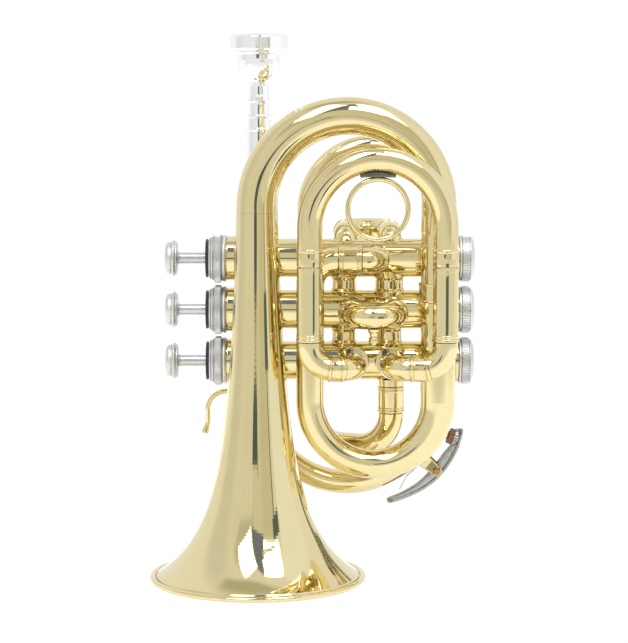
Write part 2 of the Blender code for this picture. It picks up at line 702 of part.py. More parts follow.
def build_top_cap(number):
    """A top cap with a stepped crown, a wider grip band and a plain skirt."""
    top = TOP_CAP_LENGTH
    bore = CASING_RADIUS + RUNNING_GAP
    hole = STEM_RADIUS + STEM_HOLE_GAP
    profile = [
        (TOP_CAP_SKIRT, top), (TOP_CAP_SKIRT, TOP_CAP_KNURL_END),
        (TOP_CAP_KNURL, TOP_CAP_KNURL_END), (TOP_CAP_KNURL, TOP_CAP_KNURL_START),
        (TOP_CAP_SHOULDER, TOP_CAP_KNURL_START - STEP_LENGTH), (TOP_CAP_CROWN, 0),
        (hole, 0), (hole, CAP_WALL), (bore, CAP_WALL), (bore, top)]
    turned_piece(f"top_cap_{number}", profile, (TOP_CAP_LEFT, 0, VALVE_Z[number]), "X", BODY,
                 "silver_plate", ring=True)


def build_bottom_cap(number):
    """A bottom cap: a cup with a grip band and a rounded end."""
    top = BOTTOM_CAP_LENGTH
    bore = CASING_RADIUS + RUNNING_GAP
    profile = [
        (0, top), (BOTTOM_CAP_CROWN, top - BOTTOM_CAP_DOME),
        (BOTTOM_CAP_RIM, BOTTOM_CAP_BAND_END + STEP_LENGTH),
        (BOTTOM_CAP_RADIUS, BOTTOM_CAP_BAND_END), (BOTTOM_CAP_RADIUS, BOTTOM_CAP_BAND_START),
        (BOTTOM_CAP_RIM, 0), (bore, 0), (bore, top - CAP_WALL), (0, top - CAP_WALL)]
    turned_piece(f"bottom_cap_{number}", profile, (CASING_RIGHT + SEAT_GAP, 0, VALVE_Z[number]),
                 "X", BODY, "silver_plate")


def build_cap_felt(number):
    """The black disc that quietens the button on the cap."""
    hole = STEM_RADIUS + STEM_HOLE_GAP
    profile = [(FELT_RADIUS, FELT_THICKNESS), (FELT_RADIUS, 0), (hole, 0), (hole, FELT_THICKNESS)]
    turned_piece(f"cap_felt_{number}", profile, (FELT_LEFT, 0, VALVE_Z[number]), "X", BODY,
                 "black_felt", SLEEVE_STEPS, ring=True)


def build_piston(number, pivot):
    """A hollow piston with its ports, its stem, the stop collar and the threaded tip."""
    left = PISTON_LEFT
    right = PISTON_LEFT + PISTON_LENGTH
    origin = BUTTON_RIGHT
    inner = PISTON_RADIUS - PISTON_WALL
    stop = TOP_CAP_LEFT + CAP_WALL + SEAT_GAP - origin
    profile = [
        (0, right - origin), (PISTON_RADIUS, right - origin), (PISTON_RADIUS, left - origin),
        (STEM_RADIUS, left - origin), (STEM_RADIUS, stop + STEM_COLLAR_LENGTH),
        (STEM_COLLAR_RADIUS, stop + STEM_COLLAR_LENGTH), (STEM_COLLAR_RADIUS, stop),
        (STEM_RADIUS, stop), (STEM_RADIUS, SEAT_GAP), (STEM_TIP_RADIUS, SEAT_GAP),
        (STEM_TIP_RADIUS, -STEM_TIP_LENGTH), (0, -STEM_TIP_LENGTH)]
    piston = turned_piece(f"piston_{number}", profile, (origin, 0, VALVE_Z[number]), "X", pivot,
                          "piston_alloy", SLEEVE_STEPS)
    hollow = turned(
        f"piston_hollow_{number}",
        [(0, PISTON_LENGTH - PISTON_END_WALL), (inner, PISTON_LENGTH - PISTON_END_WALL),
         (inner, PISTON_END_WALL), (0, PISTON_END_WALL)], "X", SLEEVE_STEPS)
    place_cutter(hollow, (left, 0, VALVE_Z[number]))
    shifted = [(x - PISTON_TRAVEL, direction) for x, direction in SLIDE_PORTS[number]]
    ports = port_cutter(f"piston_ports_{number}", number, STRAIGHT_PORTS[number] + shifted)
    boolean(piston, hollow, "DIFFERENCE")
    boolean(piston, ports, "DIFFERENCE")


def build_button(number, pivot):
    """A finger button: flat base, raised bead, slightly domed top, and a hole for the stem."""
    hole = STEM_TIP_RADIUS + RUNNING_GAP
    depth = STEM_TIP_LENGTH + SEAT_GAP
    low = -BUTTON_HEIGHT
    profile = [
        (0, -depth), (hole, -depth), (hole, 0), (BUTTON_BASE_RADIUS, 0),
        (BUTTON_BASE_RADIUS, -BUTTON_BEAD_START),
        (BUTTON_RADIUS, -BUTTON_BEAD_START - BUTTON_BEAD_ROUND),
        (BUTTON_RADIUS, -BUTTON_BEAD_END + BUTTON_BEAD_ROUND),
        (BUTTON_BASE_RADIUS, -BUTTON_BEAD_END), (BUTTON_TOP_RADIUS, low + BUTTON_TOP_DOME),
        (0, low)]
    turned_piece(f"finger_button_{number}", profile, (BUTTON_RIGHT, 0, VALVE_Z[number]), "X",
                 pivot, "silver_plate")


def build_valve_spring(number):
    """The return spring between the piston and the bottom cap."""
    start = PISTON_LEFT + PISTON_LENGTH + SEAT_GAP + SPRING_WIRE
    end = BOTTOM_CAP_RIGHT - CAP_WALL - SEAT_GAP - SPRING_WIRE
    count = SPRING_CURLS * SPRING_CURL_POINTS
    points = []
    for index in range(count + 1):
        angle = 2 * math.pi * index / SPRING_CURL_POINTS
        points.append(Vector((
            start + (end - start) * index / count,
            SPRING_RADIUS * math.cos(angle), VALVE_Z[number] + SPRING_RADIUS * math.sin(angle))))
    sweep(f"valve_spring_{number}", points, [(0, SPRING_WIRE)], BODY, "spring_steel", sides=6)
    if number == 1:
        gap = least_gap(points, SPRING_CURL_POINTS // 2) - 2 * SPRING_WIRE
        print(f"valve spring: least gap between curls {gap * 1000:.2f} mm")


def least_gap(points, skip):
    """Least distance between points of a coil that are at least so many places apart."""
    return min((points[i] - points[j]).length
               for i in range(len(points)) for j in range(i + skip, len(points)))


def build_mouthpiece(pivot):
    """The mouthpiece: broad rim, cup, bead and tapered shank, bored from end to end."""
    top = MOUTHPIECE_RISE
    rim_low = top - MOUTHPIECE_RIM_HEIGHT
    cup_top = top - CUP_TOP_DROP
    cup_low = top - CUP_BOTTOM_DROP
    bead_top = top - BEAD_TOP_DROP
    bead_low = top - BEAD_BOTTOM_DROP
    throat_top = top - CUP_DEPTH - THROAT_LEAD_IN
    profile = [
        (MOUTHPIECE_RIM_FACE, top),
        (MOUTHPIECE_RIM_RADIUS, top - MOUTHPIECE_RIM_ROUND), (MOUTHPIECE_RIM_RADIUS, rim_low),
        (MOUTHPIECE_STEP_RADIUS, rim_low - STEP_LENGTH)]
    for share in (0, 0.4, 0.75, 1):
        swell = math.sqrt(1 - share ** 2)
        profile.append((MOUTHPIECE_NECK + (MOUTHPIECE_CUP_RADIUS - MOUTHPIECE_NECK) * swell,
                        cup_top + (cup_low - cup_top) * share))
    profile += [
        (MOUTHPIECE_NECK, bead_top), (MOUTHPIECE_BEAD, bead_top - MOUTHPIECE_BEAD_ROUND),
        (MOUTHPIECE_BEAD, bead_low + MOUTHPIECE_BEAD_ROUND), (MOUTHPIECE_NECK, bead_low),
        (MOUTHPIECE_NECK, 0), (SHANK_END, -SHANK_LENGTH), (SHANK_END_BORE, -SHANK_LENGTH),
        (THROAT_BORE, throat_top - THROAT_LENGTH), (THROAT_BORE, throat_top)]
    for share in (0.75, 0.4):
        swell = math.sqrt(1 - share ** 2)
        profile.append((CUP_MOUTH * swell, top - CUP_DEPTH * share))
    profile.append((CUP_MOUTH, top - MOUTHPIECE_RIM_ROUND))
    turned_piece("mouthpiece", profile, (LEAD_X, LEAD_Y, RECEIVER_TOP), "Z", pivot,
                 "silver_plate", CUP_STEPS, ring=True)


def build_leadpipe():
    """The receiver that holds the mouthpiece, and the straight pipe below it."""
    bore = MOUTHPIECE_NECK + RUNNING_GAP
    height = RECEIVER_TOP - RECEIVER_BOTTOM
    low_bore = LEADPIPE_RADIUS - SLEEVE_WALL
    shelf = RECEIVER_TOP - SHANK_LENGTH - RECEIVER_SPARE - RECEIVER_BOTTOM
    profile = [
        (RECEIVER_COLLAR_RADIUS, height), (RECEIVER_COLLAR_RADIUS, height - RECEIVER_COLLAR_HEIGHT),
        (RECEIVER_RADIUS, height - RECEIVER_COLLAR_HEIGHT - STEP_LENGTH), (RECEIVER_RADIUS, 0),
        (low_bore, 0), (bore, shelf), (bore, height)]
    turned_piece("mouthpiece_receiver", profile, (LEAD_X, LEAD_Y, RECEIVER_BOTTOM), "Z", BODY,
                 "silver_plate", ring=True)
    top = RECEIVER_BOTTOM + NECK_LENGTH
    neck = low_bore - RUNNING_GAP
    points = [Vector((LEAD_X, LEAD_Y, top)), Vector((LEAD_X, LEAD_Y, LEADPIPE_END_Z))]
    stations = [(0, neck), (NECK_LENGTH + SEAT_GAP, neck),
                (NECK_LENGTH + SEAT_GAP + STEP_LENGTH, LEADPIPE_RADIUS)]
    sweep("leadpipe", points, stations, BODY, "lacquered_brass", BOW_WALL)


def build_leadpipe_bow():
    """From the leadpipe, round the bottom and up the far right leg into its sleeve."""
    bottom = LEAD_BOW_CENTRE_Z - LEAD_BOW_RADIUS
    top = LEADPIPE_END_Z + SOCKET_DEPTH
    end = TUNING_SLEEVE_BOTTOM + NECK_LENGTH
    points = route(
        [(LEAD_X, LEAD_Y, top), (LEAD_X, LEAD_Y, bottom), (FAR_LEG_X, LEAD_Y, bottom),
         (FAR_LEG_X, LEAD_Y, end)],
        [LEAD_BOW_RADIUS, LEAD_BOW_RADIUS])
    socket = LEADPIPE_RADIUS + RUNNING_GAP + BOW_WALL
    neck = TUNING_TUBE - SLEEVE_WALL - RUNNING_GAP
    stations = [
        (0, socket), (SOCKET_DEPTH + SEAT_GAP, socket),
        (SOCKET_DEPTH + SEAT_GAP + STEP_LENGTH, LEAD_BOW_TUBE),
        (-NECK_LENGTH - SEAT_GAP - STEP_LENGTH, LEAD_BOW_TUBE), (-NECK_LENGTH - SEAT_GAP, neck),
        (-1e-9, neck)]
    sweep("leadpipe_bow", points, stations, BODY, "lacquered_brass", BOW_WALL)


def build_tuning_sleeves():
    """The two outer tubes that the tuning slide runs in."""
    height = TUNING_SPLIT_Z - SEAT_GAP - TUNING_SLEEVE_BOTTOM
    ring = FERRULE_RING_WIDTH
    profile = sleeve_profile(TUNING_TUBE - SLEEVE_WALL, [
        (ring, FERRULE_RADIUS), (height - 2 * ring, TUNING_TUBE), (ring, FERRULE_RADIUS)])
    for side, x in (("left", TUNING_LEFT_X), ("right", FAR_LEG_X)):
        turned_piece(f"tuning_sleeve_{side}", profile, (x, LEAD_Y, TUNING_SLEEVE_BOTTOM), "Z",
                     BODY, "lacquered_brass", SLEEVE_STEPS, ring=True)


def slide_bow(name, start, corner_1, corner_2, end, bend, sizes, pivot):
    """A slide's moving bow: a full-size bow between two thinner inner legs."""
    leg_length, leg_radius, bow_radius = sizes
    points = route([start, corner_1, corner_2, end], [bend, bend])
    first = [(0, leg_radius), (leg_length, leg_radius), (leg_length + STEP_LENGTH, bow_radius)]
    return sweep(name, points, mirrored(first), pivot, "lacquered_brass", LEG_WALL)


def build_tuning_slide(pivot):
    """The tuning slide: the far arch with its two legs."""
    leg_length = TUNING_SPLIT_Z - TUNING_SLEEVE_BOTTOM - NECK_LENGTH - TUNING_LEG_CLEARANCE
    low = TUNING_SPLIT_Z - leg_length
    top = TUNING_BOW_CENTRE_Z + TUNING_BOW_RADIUS
    leg = TUNING_TUBE - SLEEVE_WALL - RUNNING_GAP
    slide_bow("tuning_slide_bow", (TUNING_LEFT_X, LEAD_Y, low), (TUNING_LEFT_X, LEAD_Y, top),
              (FAR_LEG_X, LEAD_Y, top), (FAR_LEG_X, LEAD_Y, low), TUNING_BOW_RADIUS,
              (leg_length, leg, TUNING_TUBE), pivot)


def build_inlet_bow():
    """From the far left leg, down, slanting forward and up into valve 3, with its ferrule."""
    start = TUNING_SLEEVE_BOTTOM + NECK_LENGTH
    top = VALVE_Z[3] - CASING_BORE
    points = route(
        [(TUNING_LEFT_X, LEAD_Y, start), (TUNING_LEFT_X, LEAD_Y, INLET_BOTTOM_Z),
         (INLET_PORT_X, 0, INLET_BOTTOM_Z), (INLET_PORT_X, 0, top)],
        [INLET_BEND, INLET_BEND])
    neck = TUNING_TUBE - SLEEVE_WALL - RUNNING_GAP
    waist = ENTRY_TUBE - BOW_WALL
    waist_low = top - INLET_FERRULE_BOTTOM + SEAT_GAP
    waist_high = top - INLET_FERRULE_TOP
    stations = [
        (0, neck), (NECK_LENGTH + SEAT_GAP, neck),
        (NECK_LENGTH + SEAT_GAP + STEP_LENGTH, INLET_TUBE),
        (-waist_low - STEP_LENGTH, INLET_TUBE), (-waist_low, waist), (-waist_high, waist),
        (-waist_high + STEP_LENGTH, INLET_TUBE), (-1e-9, INLET_TUBE)]
    bow = as_mesh(sweep("inlet_bow", points, stations, BODY, "lacquered_brass", BOW_WALL))
    boolean(bow, ENVELOPES[3], "DIFFERENCE")
    build_ferrule("inlet_ferrule", (INLET_PORT_X, 0, INLET_FERRULE_BOTTOM), "Z",
                  INLET_FERRULE_LENGTH)


def build_first_slide(pivot):
    """The first valve's slide: two elbows on top of valve 1, and a short bow at the back."""
    for side, x in zip(("left", "right"), FIRST_PORTS):
        points = route(
            [(x, 0, VALVE_Z[1]), (x, 0, FIRST_Z), (x, FIRST_SPLIT_Y - SEAT_GAP, FIRST_Z)],
            [FIRST_BEND])
        elbow = as_mesh(sweep(f"first_slide_sleeve_{side}", points, [(0, FIRST_TUBE)], BODY,
                              "lacquered_brass", LEG_WALL))
        boolean(elbow, ENVELOPES[1], "DIFFERENCE")
    left, right = FIRST_PORTS
    leg_length = FIRST_TRAVEL + FIRST_HOLD
    low = FIRST_SPLIT_Y - leg_length
    back = FIRST_BOW_CENTRE_Y + FIRST_BOW_RADIUS
    leg = FIRST_TUBE - LEG_WALL - RUNNING_GAP
    slide_bow("first_slide_bow", (left, low, FIRST_Z), (left, back, FIRST_Z),
              (right, back, FIRST_Z), (right, low, FIRST_Z), FIRST_BOW_RADIUS,
              (leg_length, leg, FIRST_TUBE), pivot)


def build_second_slide(pivot):
    """The second valve's slide: two straight sleeves, a short bow in front and its knob."""
    left, right = SECOND_PORTS
    z = VALVE_Z[2]
    front = SECOND_SPLIT_Y + SEAT_GAP
    length = -CASING_BORE - front
    ring = FERRULE_RING_WIDTH
    profile = sleeve_profile(SECOND_TUBE - SLEEVE_WALL, [
        (length - ring - SECOND_RING_WIDTH, SECOND_TUBE), (SECOND_RING_WIDTH, SECOND_RING),
        (ring, SECOND_TUBE)])
    for side, x in zip(("left", "right"), SECOND_PORTS):
        sleeve = turned_piece(f"second_slide_sleeve_{side}", profile, (x, front, z), "Y", BODY,
                              "lacquered_brass", SLEEVE_STEPS, ring=True)
        boolean(sleeve, ENVELOPES[2], "DIFFERENCE")
    leg_length = SECOND_TRAVEL + SECOND_HOLD
    low = SECOND_SPLIT_Y + leg_length
    leg = SECOND_TUBE - SLEEVE_WALL - RUNNING_GAP
    bend = (right - left) / 2
    slide_bow("second_slide_bow", (left, low, z), (left, SECOND_FRONT_Y, z),
              (right, SECOND_FRONT_Y, z), (right, low, z), bend,
              (leg_length, leg, SECOND_TUBE), pivot)
    top = z - SECOND_TUBE - SEAT_GAP
    profile = [
        (0, 0), (KNOB_RADIUS, 0), (KNOB_WAIST, -KNOB_LENGTH * 0.30),
        (KNOB_WAIST, -KNOB_LENGTH * 0.42), (KNOB_RADIUS, -KNOB_LENGTH * 0.60),
        (KNOB_RADIUS, -KNOB_LENGTH * 0.88), (0, -KNOB_LENGTH)]
    turned_piece("second_slide_knob", profile, (SECOND_X, SECOND_FRONT_Y, top), "Z", pivot,
                 "lacquered_brass", SLEEVE_STEPS)


def build_third_slide(pivot):
    """The third valve's slide: two elbow runs, two upright sleeves and the tall bow."""
    height = THIRD_SPLIT_Z - SEAT_GAP - THIRD_SLEEVE_BOTTOM
    ring = THIRD_RING_HEIGHT
    profile = sleeve_profile(THIRD_SLEEVE_RADIUS - SLEEVE_WALL, [
        (ring / 2, THIRD_RING_RADIUS), (height - 1.5 * ring, THIRD_SLEEVE_RADIUS),
        (ring, THIRD_RING_RADIUS)])
    neck = THIRD_SLEEVE_RADIUS - SLEEVE_WALL - RUNNING_GAP
    for side, port, x in (("left", THIRD_PORTS[0], THIRD_LEFT_X),
                          ("right", THIRD_PORTS[1], THIRD_RIGHT_X)):
        end = THIRD_SLEEVE_BOTTOM + NECK_LENGTH
        points = route(
            [(port, -CASING_BORE, THIRD_Z), (port, THIRD_Y, THIRD_Z), (x, THIRD_Y, THIRD_Z),
             (x, THIRD_Y, end)],
            [THIRD_PORT_BEND, THIRD_CORNER_BEND])
        stations = [(0, THIRD_TUBE), (-NECK_LENGTH - SEAT_GAP - STEP_LENGTH, THIRD_TUBE),
                    (-NECK_LENGTH - SEAT_GAP, neck), (-1e-9, neck)]
        elbow = as_mesh(sweep(f"third_slide_elbow_{side}", points, stations, BODY,
                              "lacquered_brass", BOW_WALL))
        boolean(elbow, ENVELOPES[3], "DIFFERENCE")
        turned_piece(f"third_slide_sleeve_{side}", profile, (x, THIRD_Y, THIRD_SLEEVE_BOTTOM),
                     "Z", BODY, "lacquered_brass", SLEEVE_STEPS, ring=True)
    leg_length = THIRD_SPLIT_Z - THIRD_SLEEVE_BOTTOM - NECK_LENGTH - THIRD_LEG_CLEARANCE
    low = THIRD_SPLIT_Z - leg_length
    top = THIRD_BOW_CENTRE_Z + THIRD_BOW_RADIUS
    slide_bow("third_slide_bow", (THIRD_LEFT_X, THIRD_Y, low), (THIRD_LEFT_X, THIRD_Y, top),
              (THIRD_RIGHT_X, THIRD_Y, top), (THIRD_RIGHT_X, THIRD_Y, low), THIRD_BOW_RADIUS,
              (leg_length, neck, THIRD_TUBE), pivot)


def build_finger_ring(pivot):
    """The finger ring inside the third slide's bow, with the foot that joins it to the bow."""
    x = THIRD_LEFT_X + THIRD_BOW_RADIUS
    bpy.ops.mesh.primitive_torus_add(
        major_segments=20, minor_segments=6, major_radius=FINGER_RING_RADIUS - FINGER_RING_WIRE,
        minor_radius=FINGER_RING_WIRE)
    ring = bpy.context.object
    for collection in list(ring.users_collection):
        collection.objects.unlink(ring)
    ring.name = "finger_ring"
    ring.rotation_euler = (math.pi / 2, 0, 0)
    place(ring, pivot, (x, THIRD_Y, FINGER_RING_Z), "lacquered_brass")
    points = []
    for index in range(5):
        angle = RING_FOOT_HALF_ANGLE * (index / 2 - 1)
        points.append(Vector((
            x + RING_FOOT_REACH * math.sin(angle), THIRD_Y,
            THIRD_BOW_CENTRE_Z + RING_FOOT_REACH * math.cos(angle))))
    foot = as_mesh(sweep("ring_foot", points, [(0, RING_FOOT_WIRE)], pivot, None, sides=8))
    CORNET.objects.unlink(foot)
    CUTTERS.objects.link(foot)
    foot.hide_render = True
    foot.display_type = "WIRE"
    boolean(ring, foot, "UNION")


def build_finger_hook():
    """The hook for the little finger, bent from wire and soldered to the leadpipe."""
    start = LEAD_X - LEADPIPE_RADIUS - SEAT_GAP
    points = route(
        [(start, LEAD_Y, HOOK_Z), (HOOK_X, LEAD_Y, HOOK_Z), (HOOK_X, LEAD_Y, HOOK_Z - HOOK_DROP),
         (HOOK_X - HOOK_TIP_OUT, LEAD_Y, HOOK_Z - HOOK_TIP_DROP)],
        [HOOK_BEND, HOOK_TIP_BEND])
    stations = [(0, HOOK_FOOT), (HOOK_FOOT_LENGTH, HOOK_FOOT),
                (HOOK_FOOT_LENGTH + HOOK_FOOT_TAPER, HOOK_WIRE), (-HOOK_TIP_BEND, HOOK_WIRE),
                (-1e-9, HOOK_TIP_WIRE)]
    sweep("finger_hook", points, stations, BODY, "lacquered_brass", sides=8)


def build_bell_brace():
    """The brace between the bell's stem and the mouthpiece receiver."""
    front = BELL_Y + flare_radius(BRACE_Z) + SEAT_GAP
    back = LEAD_Y - RECEIVER_RADIUS - SEAT_GAP
    points = [Vector((BELL_X, front, BRACE_Z)), Vector((BELL_X, back, BRACE_Z))]
    foot = [(0, BRACE_FOOT), (BRACE_FOOT_LENGTH, BRACE_FOOT),
            (BRACE_FOOT_LENGTH + STEP_LENGTH, BRACE_RADIUS)]
    sweep("bell_brace", points, mirrored(foot), BODY, "lacquered_brass", sides=8)


def on_bow(angle, height):
    """A point outside the leadpipe bow: an angle about its centre, a height over its tube."""
    reach = LEAD_BOW_RADIUS + LEAD_BOW_TUBE + height
    return LEAD_BOW_CENTRE + Vector((math.cos(angle), 0, math.sin(angle))) * reach


def outline_piece(name, outline, width, pivot, at, finish):
    """A plate of even thickness across the bow, from an outline in the bow's own plane."""
    curve = bpy.data.curves.new(name, "CURVE")
    curve.dimensions = "2D"
    curve.fill_mode = "BOTH"
    curve.extrude = width / 2
    spline = curve.splines.new("POLY")
    spline.use_cyclic_u = True
    spline.points.add(len(outline) - 1)
    for point, corner in zip(spline.points, outline):
        offset = corner - Vector(at)
        point.co = (offset.x, offset.z, 0, 1)
    obj = place(bpy.data.objects.new(name, curve), pivot, at, finish)
    obj.rotation_euler = (math.pi / 2, 0, 0)
    return as_mesh(obj)


def cylinder_cutter(name, radius, length, at, direction, steps=12):
    """A round bar that cuts or joins, centred at a place and lying along a direction."""
    shape = bmesh.new()
    bmesh.ops.create_cone(shape, cap_ends=True, segments=steps, radius1=radius, radius2=radius,
                          depth=length)
    mesh = bpy.data.meshes.new(name)
    shape.to_mesh(mesh)
    shape.free()
    obj = place_cutter(bpy.data.objects.new(name, mesh), at)
    obj.rotation_mode = "QUATERNION"
    obj.rotation_quaternion = Vector((0, 0, 1)).rotation_difference(Vector(direction))
    return obj


def lever_band(angle):
    """Inner and outer height of the lever over the tube, at an angle about the bow's centre."""
    seat = NIPPLE_HEIGHT + 2 * SEAT_GAP + CORK_THICKNESS + SEAT_GAP
    top = seat + KEY_PLATE + KEY_LEVER_CROWN
    low = KEY_PIVOT_HEIGHT - KEY_LEVER_DROP
    if angle > KEY_PIVOT_ANGLE:
        share = (angle - KEY_PIVOT_ANGLE) / (KEY_HEAD_ANGLE - KEY_PIVOT_ANGLE)
        share = min(share / KEY_RISE_SHARE, 1)
        blend = share * share * (3 - 2 * share)
        return low + (seat - low) * blend, top - KEY_LEVER_CROWN * blend
    share = (KEY_PIVOT_ANGLE - angle) / (KEY_PIVOT_ANGLE - KEY_TIP_ANGLE)
    tip_top = KEY_TIP_HEIGHT + KEY_TIP_PLATE
    return low + (KEY_TIP_HEIGHT - low) * share, top + (tip_top - top) * share


def build_water_key(pivot):
    """The water key: nipple, cork, lever, saddle, pin and spring."""
    outward = Vector((math.cos(KEY_NIPPLE_ANGLE), 0, math.sin(KEY_NIPPLE_ANGLE)))
    nipple = turned(
        "water_key_nipple",
        [(NIPPLE_RADIUS * 0.8, NIPPLE_HEIGHT), (NIPPLE_RADIUS, 0), (NIPPLE_BORE, 0),
         (NIPPLE_BORE, NIPPLE_HEIGHT)], "Z", SLEEVE_STEPS, ring=True)
    place(nipple, BODY, on_bow(KEY_NIPPLE_ANGLE, SEAT_GAP), "lacquered_brass")
    aim = Vector((0, 0, 1)).rotation_difference(outward).to_euler()
    nipple.rotation_euler = aim

    cork = turned(
        "water_key_cork",
        [(0, CORK_THICKNESS), (CORK_RADIUS, CORK_THICKNESS), (CORK_RADIUS, 0), (0, 0)],
        "Z")
    place(cork, pivot, on_bow(KEY_NIPPLE_ANGLE, NIPPLE_HEIGHT + 2 * SEAT_GAP), "cork")
    cork.rotation_euler = aim

    steps = 11
    angles = [KEY_HEAD_ANGLE + (KEY_TIP_ANGLE - KEY_HEAD_ANGLE) * i / steps
              for i in range(steps + 1)]
    outline = [on_bow(angle, lever_band(angle)[1]) for angle in angles]
    outline += [on_bow(angle, lever_band(angle)[0]) for angle in reversed(angles)]
    lever_at = on_bow(KEY_PIVOT_ANGLE, KEY_PIVOT_HEIGHT)
    lever = outline_piece("water_key_lever", outline, KEY_WIDTH, pivot, lever_at, "silver_plate")
    across = (0, 1, 0)
    barrel = cylinder_cutter("key_barrel", KEY_BARREL_RADIUS, KEY_WIDTH, lever_at, across)
    bore = cylinder_cutter(
        "key_bore", KEY_PIN_RADIUS + RUNNING_GAP, 4 * KEY_WIDTH, lever_at, across)
    boolean(lever, barrel, "UNION")
    boolean(lever, bore, "DIFFERENCE")

    build_saddle(lever_at, across, bore)


def build_saddle(lever_at, across, bore):
    """The saddle's two ears on a curved base, the pivot pin and the spring wire."""
    ear_gap = KEY_WIDTH + 2 * SEAT_GAP
    width = ear_gap + 2 * SADDLE_EAR
    half = SADDLE_LENGTH / 2
    angle_half = half / (LEAD_BOW_RADIUS + LEAD_BOW_TUBE)
    nose = KEY_BARREL_RADIUS + KEY_BARREL_GAP
    outline = [
        on_bow(KEY_PIVOT_ANGLE + angle_half, -SADDLE_BASE),
        on_bow(KEY_PIVOT_ANGLE - angle_half, -SADDLE_BASE),
        on_bow(KEY_PIVOT_ANGLE - angle_half, SADDLE_BASE)]
    for index in range(7):
        turn = KEY_PIVOT_ANGLE - math.pi / 2 + math.pi * index / 6
        outline.append(lever_at + Vector((math.cos(turn), 0, math.sin(turn))) * nose)
    outline.append(on_bow(KEY_PIVOT_ANGLE + angle_half, SADDLE_BASE))
    saddle = outline_piece("water_key_saddle", outline, width, BODY, lever_at, "gold_brass")
    outward = Vector((math.cos(KEY_PIVOT_ANGLE), 0, math.sin(KEY_PIVOT_ANGLE)))
    along = Vector((-outward.z, 0, outward.x))
    slot = bmesh.new()
    bmesh.ops.create_cube(slot, size=1)
    depth = 2 * KEY_PIVOT_HEIGHT
    bmesh.ops.scale(slot, verts=slot.verts, vec=(2 * SADDLE_LENGTH, ear_gap, depth))
    mesh = bpy.data.meshes.new("saddle_slot")
    slot.to_mesh(mesh)
    slot.free()
    slot_cutter = place_cutter(
        bpy.data.objects.new("saddle_slot", mesh),
        on_bow(KEY_PIVOT_ANGLE, SADDLE_BASE + depth / 2))
    slot_cutter.rotation_mode = "QUATERNION"
    slot_cutter.rotation_quaternion = Vector((0, 0, 1)).rotation_difference(outward)
    tube = cylinder_cutter("saddle_seat", LEAD_BOW_TUBE + SEAT_GAP, 4 * SADDLE_LENGTH,
                           on_bow(KEY_PIVOT_ANGLE, -LEAD_BOW_TUBE), along, 16)
    boolean(saddle, slot_cutter, "DIFFERENCE")
    boolean(saddle, tube, "DIFFERENCE")
    boolean(saddle, bore, "DIFFERENCE")
    head = SADDLE_EAR
    pin_length = width + head
    profile = [(0, pin_length), (KEY_PIN_RADIUS, pin_length), (KEY_PIN_RADIUS, head - SEAT_GAP),
               (PIN_HEAD_RADIUS, head - SEAT_GAP), (PIN_HEAD_RADIUS, 0), (0, 0)]
    turned_piece("water_key_pin", profile, lever_at - Vector((0, width / 2 + head, 0)), "Y", BODY,
                 "gold_brass", SLEEVE_STEPS)
    points = [on_bow(KEY_PIVOT_ANGLE - math.radians(turn), SEAT_GAP + KEY_SPRING_WIRE + lift)
              for turn, lift in KEY_SPRING_SHAPE]
    sweep("water_key_spring", points, [(0, KEY_SPRING_WIRE)], BODY, "spring_steel", sides=6)


clear_scene()
CORNET = new_collection("pocket_cornet")
CUTTERS = new_collection("cutters")
MATERIALS = {name: make_finish(name) for name in FINISHES}
FRAME = bpy.data.objects.new("cornet_frame", None)
CORNET.objects.link(FRAME)
FRAME.location = -BOX_CENTRE
BODY = make_pivot("body_pivot")
ENVELOPES = {number: casing_envelope(number) for number in VALVE_Z}

build_bell()
build_bell_bow()
build_lower_bell_bow()
build_valve_entry()
build_ferrule("entry_ferrule", (ENTRY_JOINT_X - ENTRY_FERRULE_HALF, BELL_Y, ENTRY_Z), "X",
              2 * ENTRY_FERRULE_HALF)
for valve, valve_z in VALVE_Z.items():
    build_casing(valve)
    build_top_cap(valve)
    build_bottom_cap(valve)
    build_cap_felt(valve)
    valve_pivot = make_pivot(f"valve_{valve}_pivot", (BUTTON_RIGHT, 0, valve_z))
    build_piston(valve, valve_pivot)
    build_button(valve, valve_pivot)
    build_valve_spring(valve)
build_knuckle(1, KNUCKLE_LEFT_X, KNUCKLE_LEFT_RADIUS, "knuckle_1_2_left")
build_knuckle(1, KNUCKLE_RIGHT_X, KNUCKLE_12_RADIUS, "knuckle_1_2_right")
build_knuckle(2, KNUCKLE_LEFT_X, KNUCKLE_LEFT_RADIUS, "knuckle_2_3_left")
build_knuckle(2, KNUCKLE_RIGHT_X, KNUCKLE_23_RADIUS, "knuckle_2_3_right")
build_mouthpiece(make_pivot("mouthpiece_pivot", (LEAD_X, LEAD_Y, RECEIVER_TOP)))
build_leadpipe()
build_leadpipe_bow()
build_tuning_sleeves()
build_tuning_slide(make_pivot("tuning_slide_pivot", (TUNING_LEFT_X, LEAD_Y, TUNING_SPLIT_Z)))
build_inlet_bow()
build_first_slide(make_pivot("first_slide_pivot", (FIRST_PORTS[0], FIRST_SPLIT_Y, FIRST_Z)))
build_second_slide(make_pivot("second_slide_pivot", (SECOND_X, SECOND_SPLIT_Y, VALVE_Z[2])))
third_pivot = make_pivot("third_slide_pivot", (THIRD_LEFT_X, THIRD_Y, THIRD_SPLIT_Z))
build_third_slide(third_pivot)
build_finger_ring(third_pivot)
build_finger_hook()
build_bell_brace()
build_water_key(make_pivot("water_key_pivot", on_bow(KEY_PIVOT_ANGLE, KEY_PIVOT_HEIGHT)))
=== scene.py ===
"""The pocket cornet dressed for its portrait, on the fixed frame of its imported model.

Sizes are in millimetres in the maker's own frame: x along the valves from the buttons to the
bottom caps, y away from the viewer with zero in the valves' plane, and z up from the ground.
"""
import logging
from collections.abc import Callable, Mapping, Sequence
from dataclasses import dataclass, field
from enum import Enum
from math import ceil, cos, pi, radians, sin, sqrt, tan

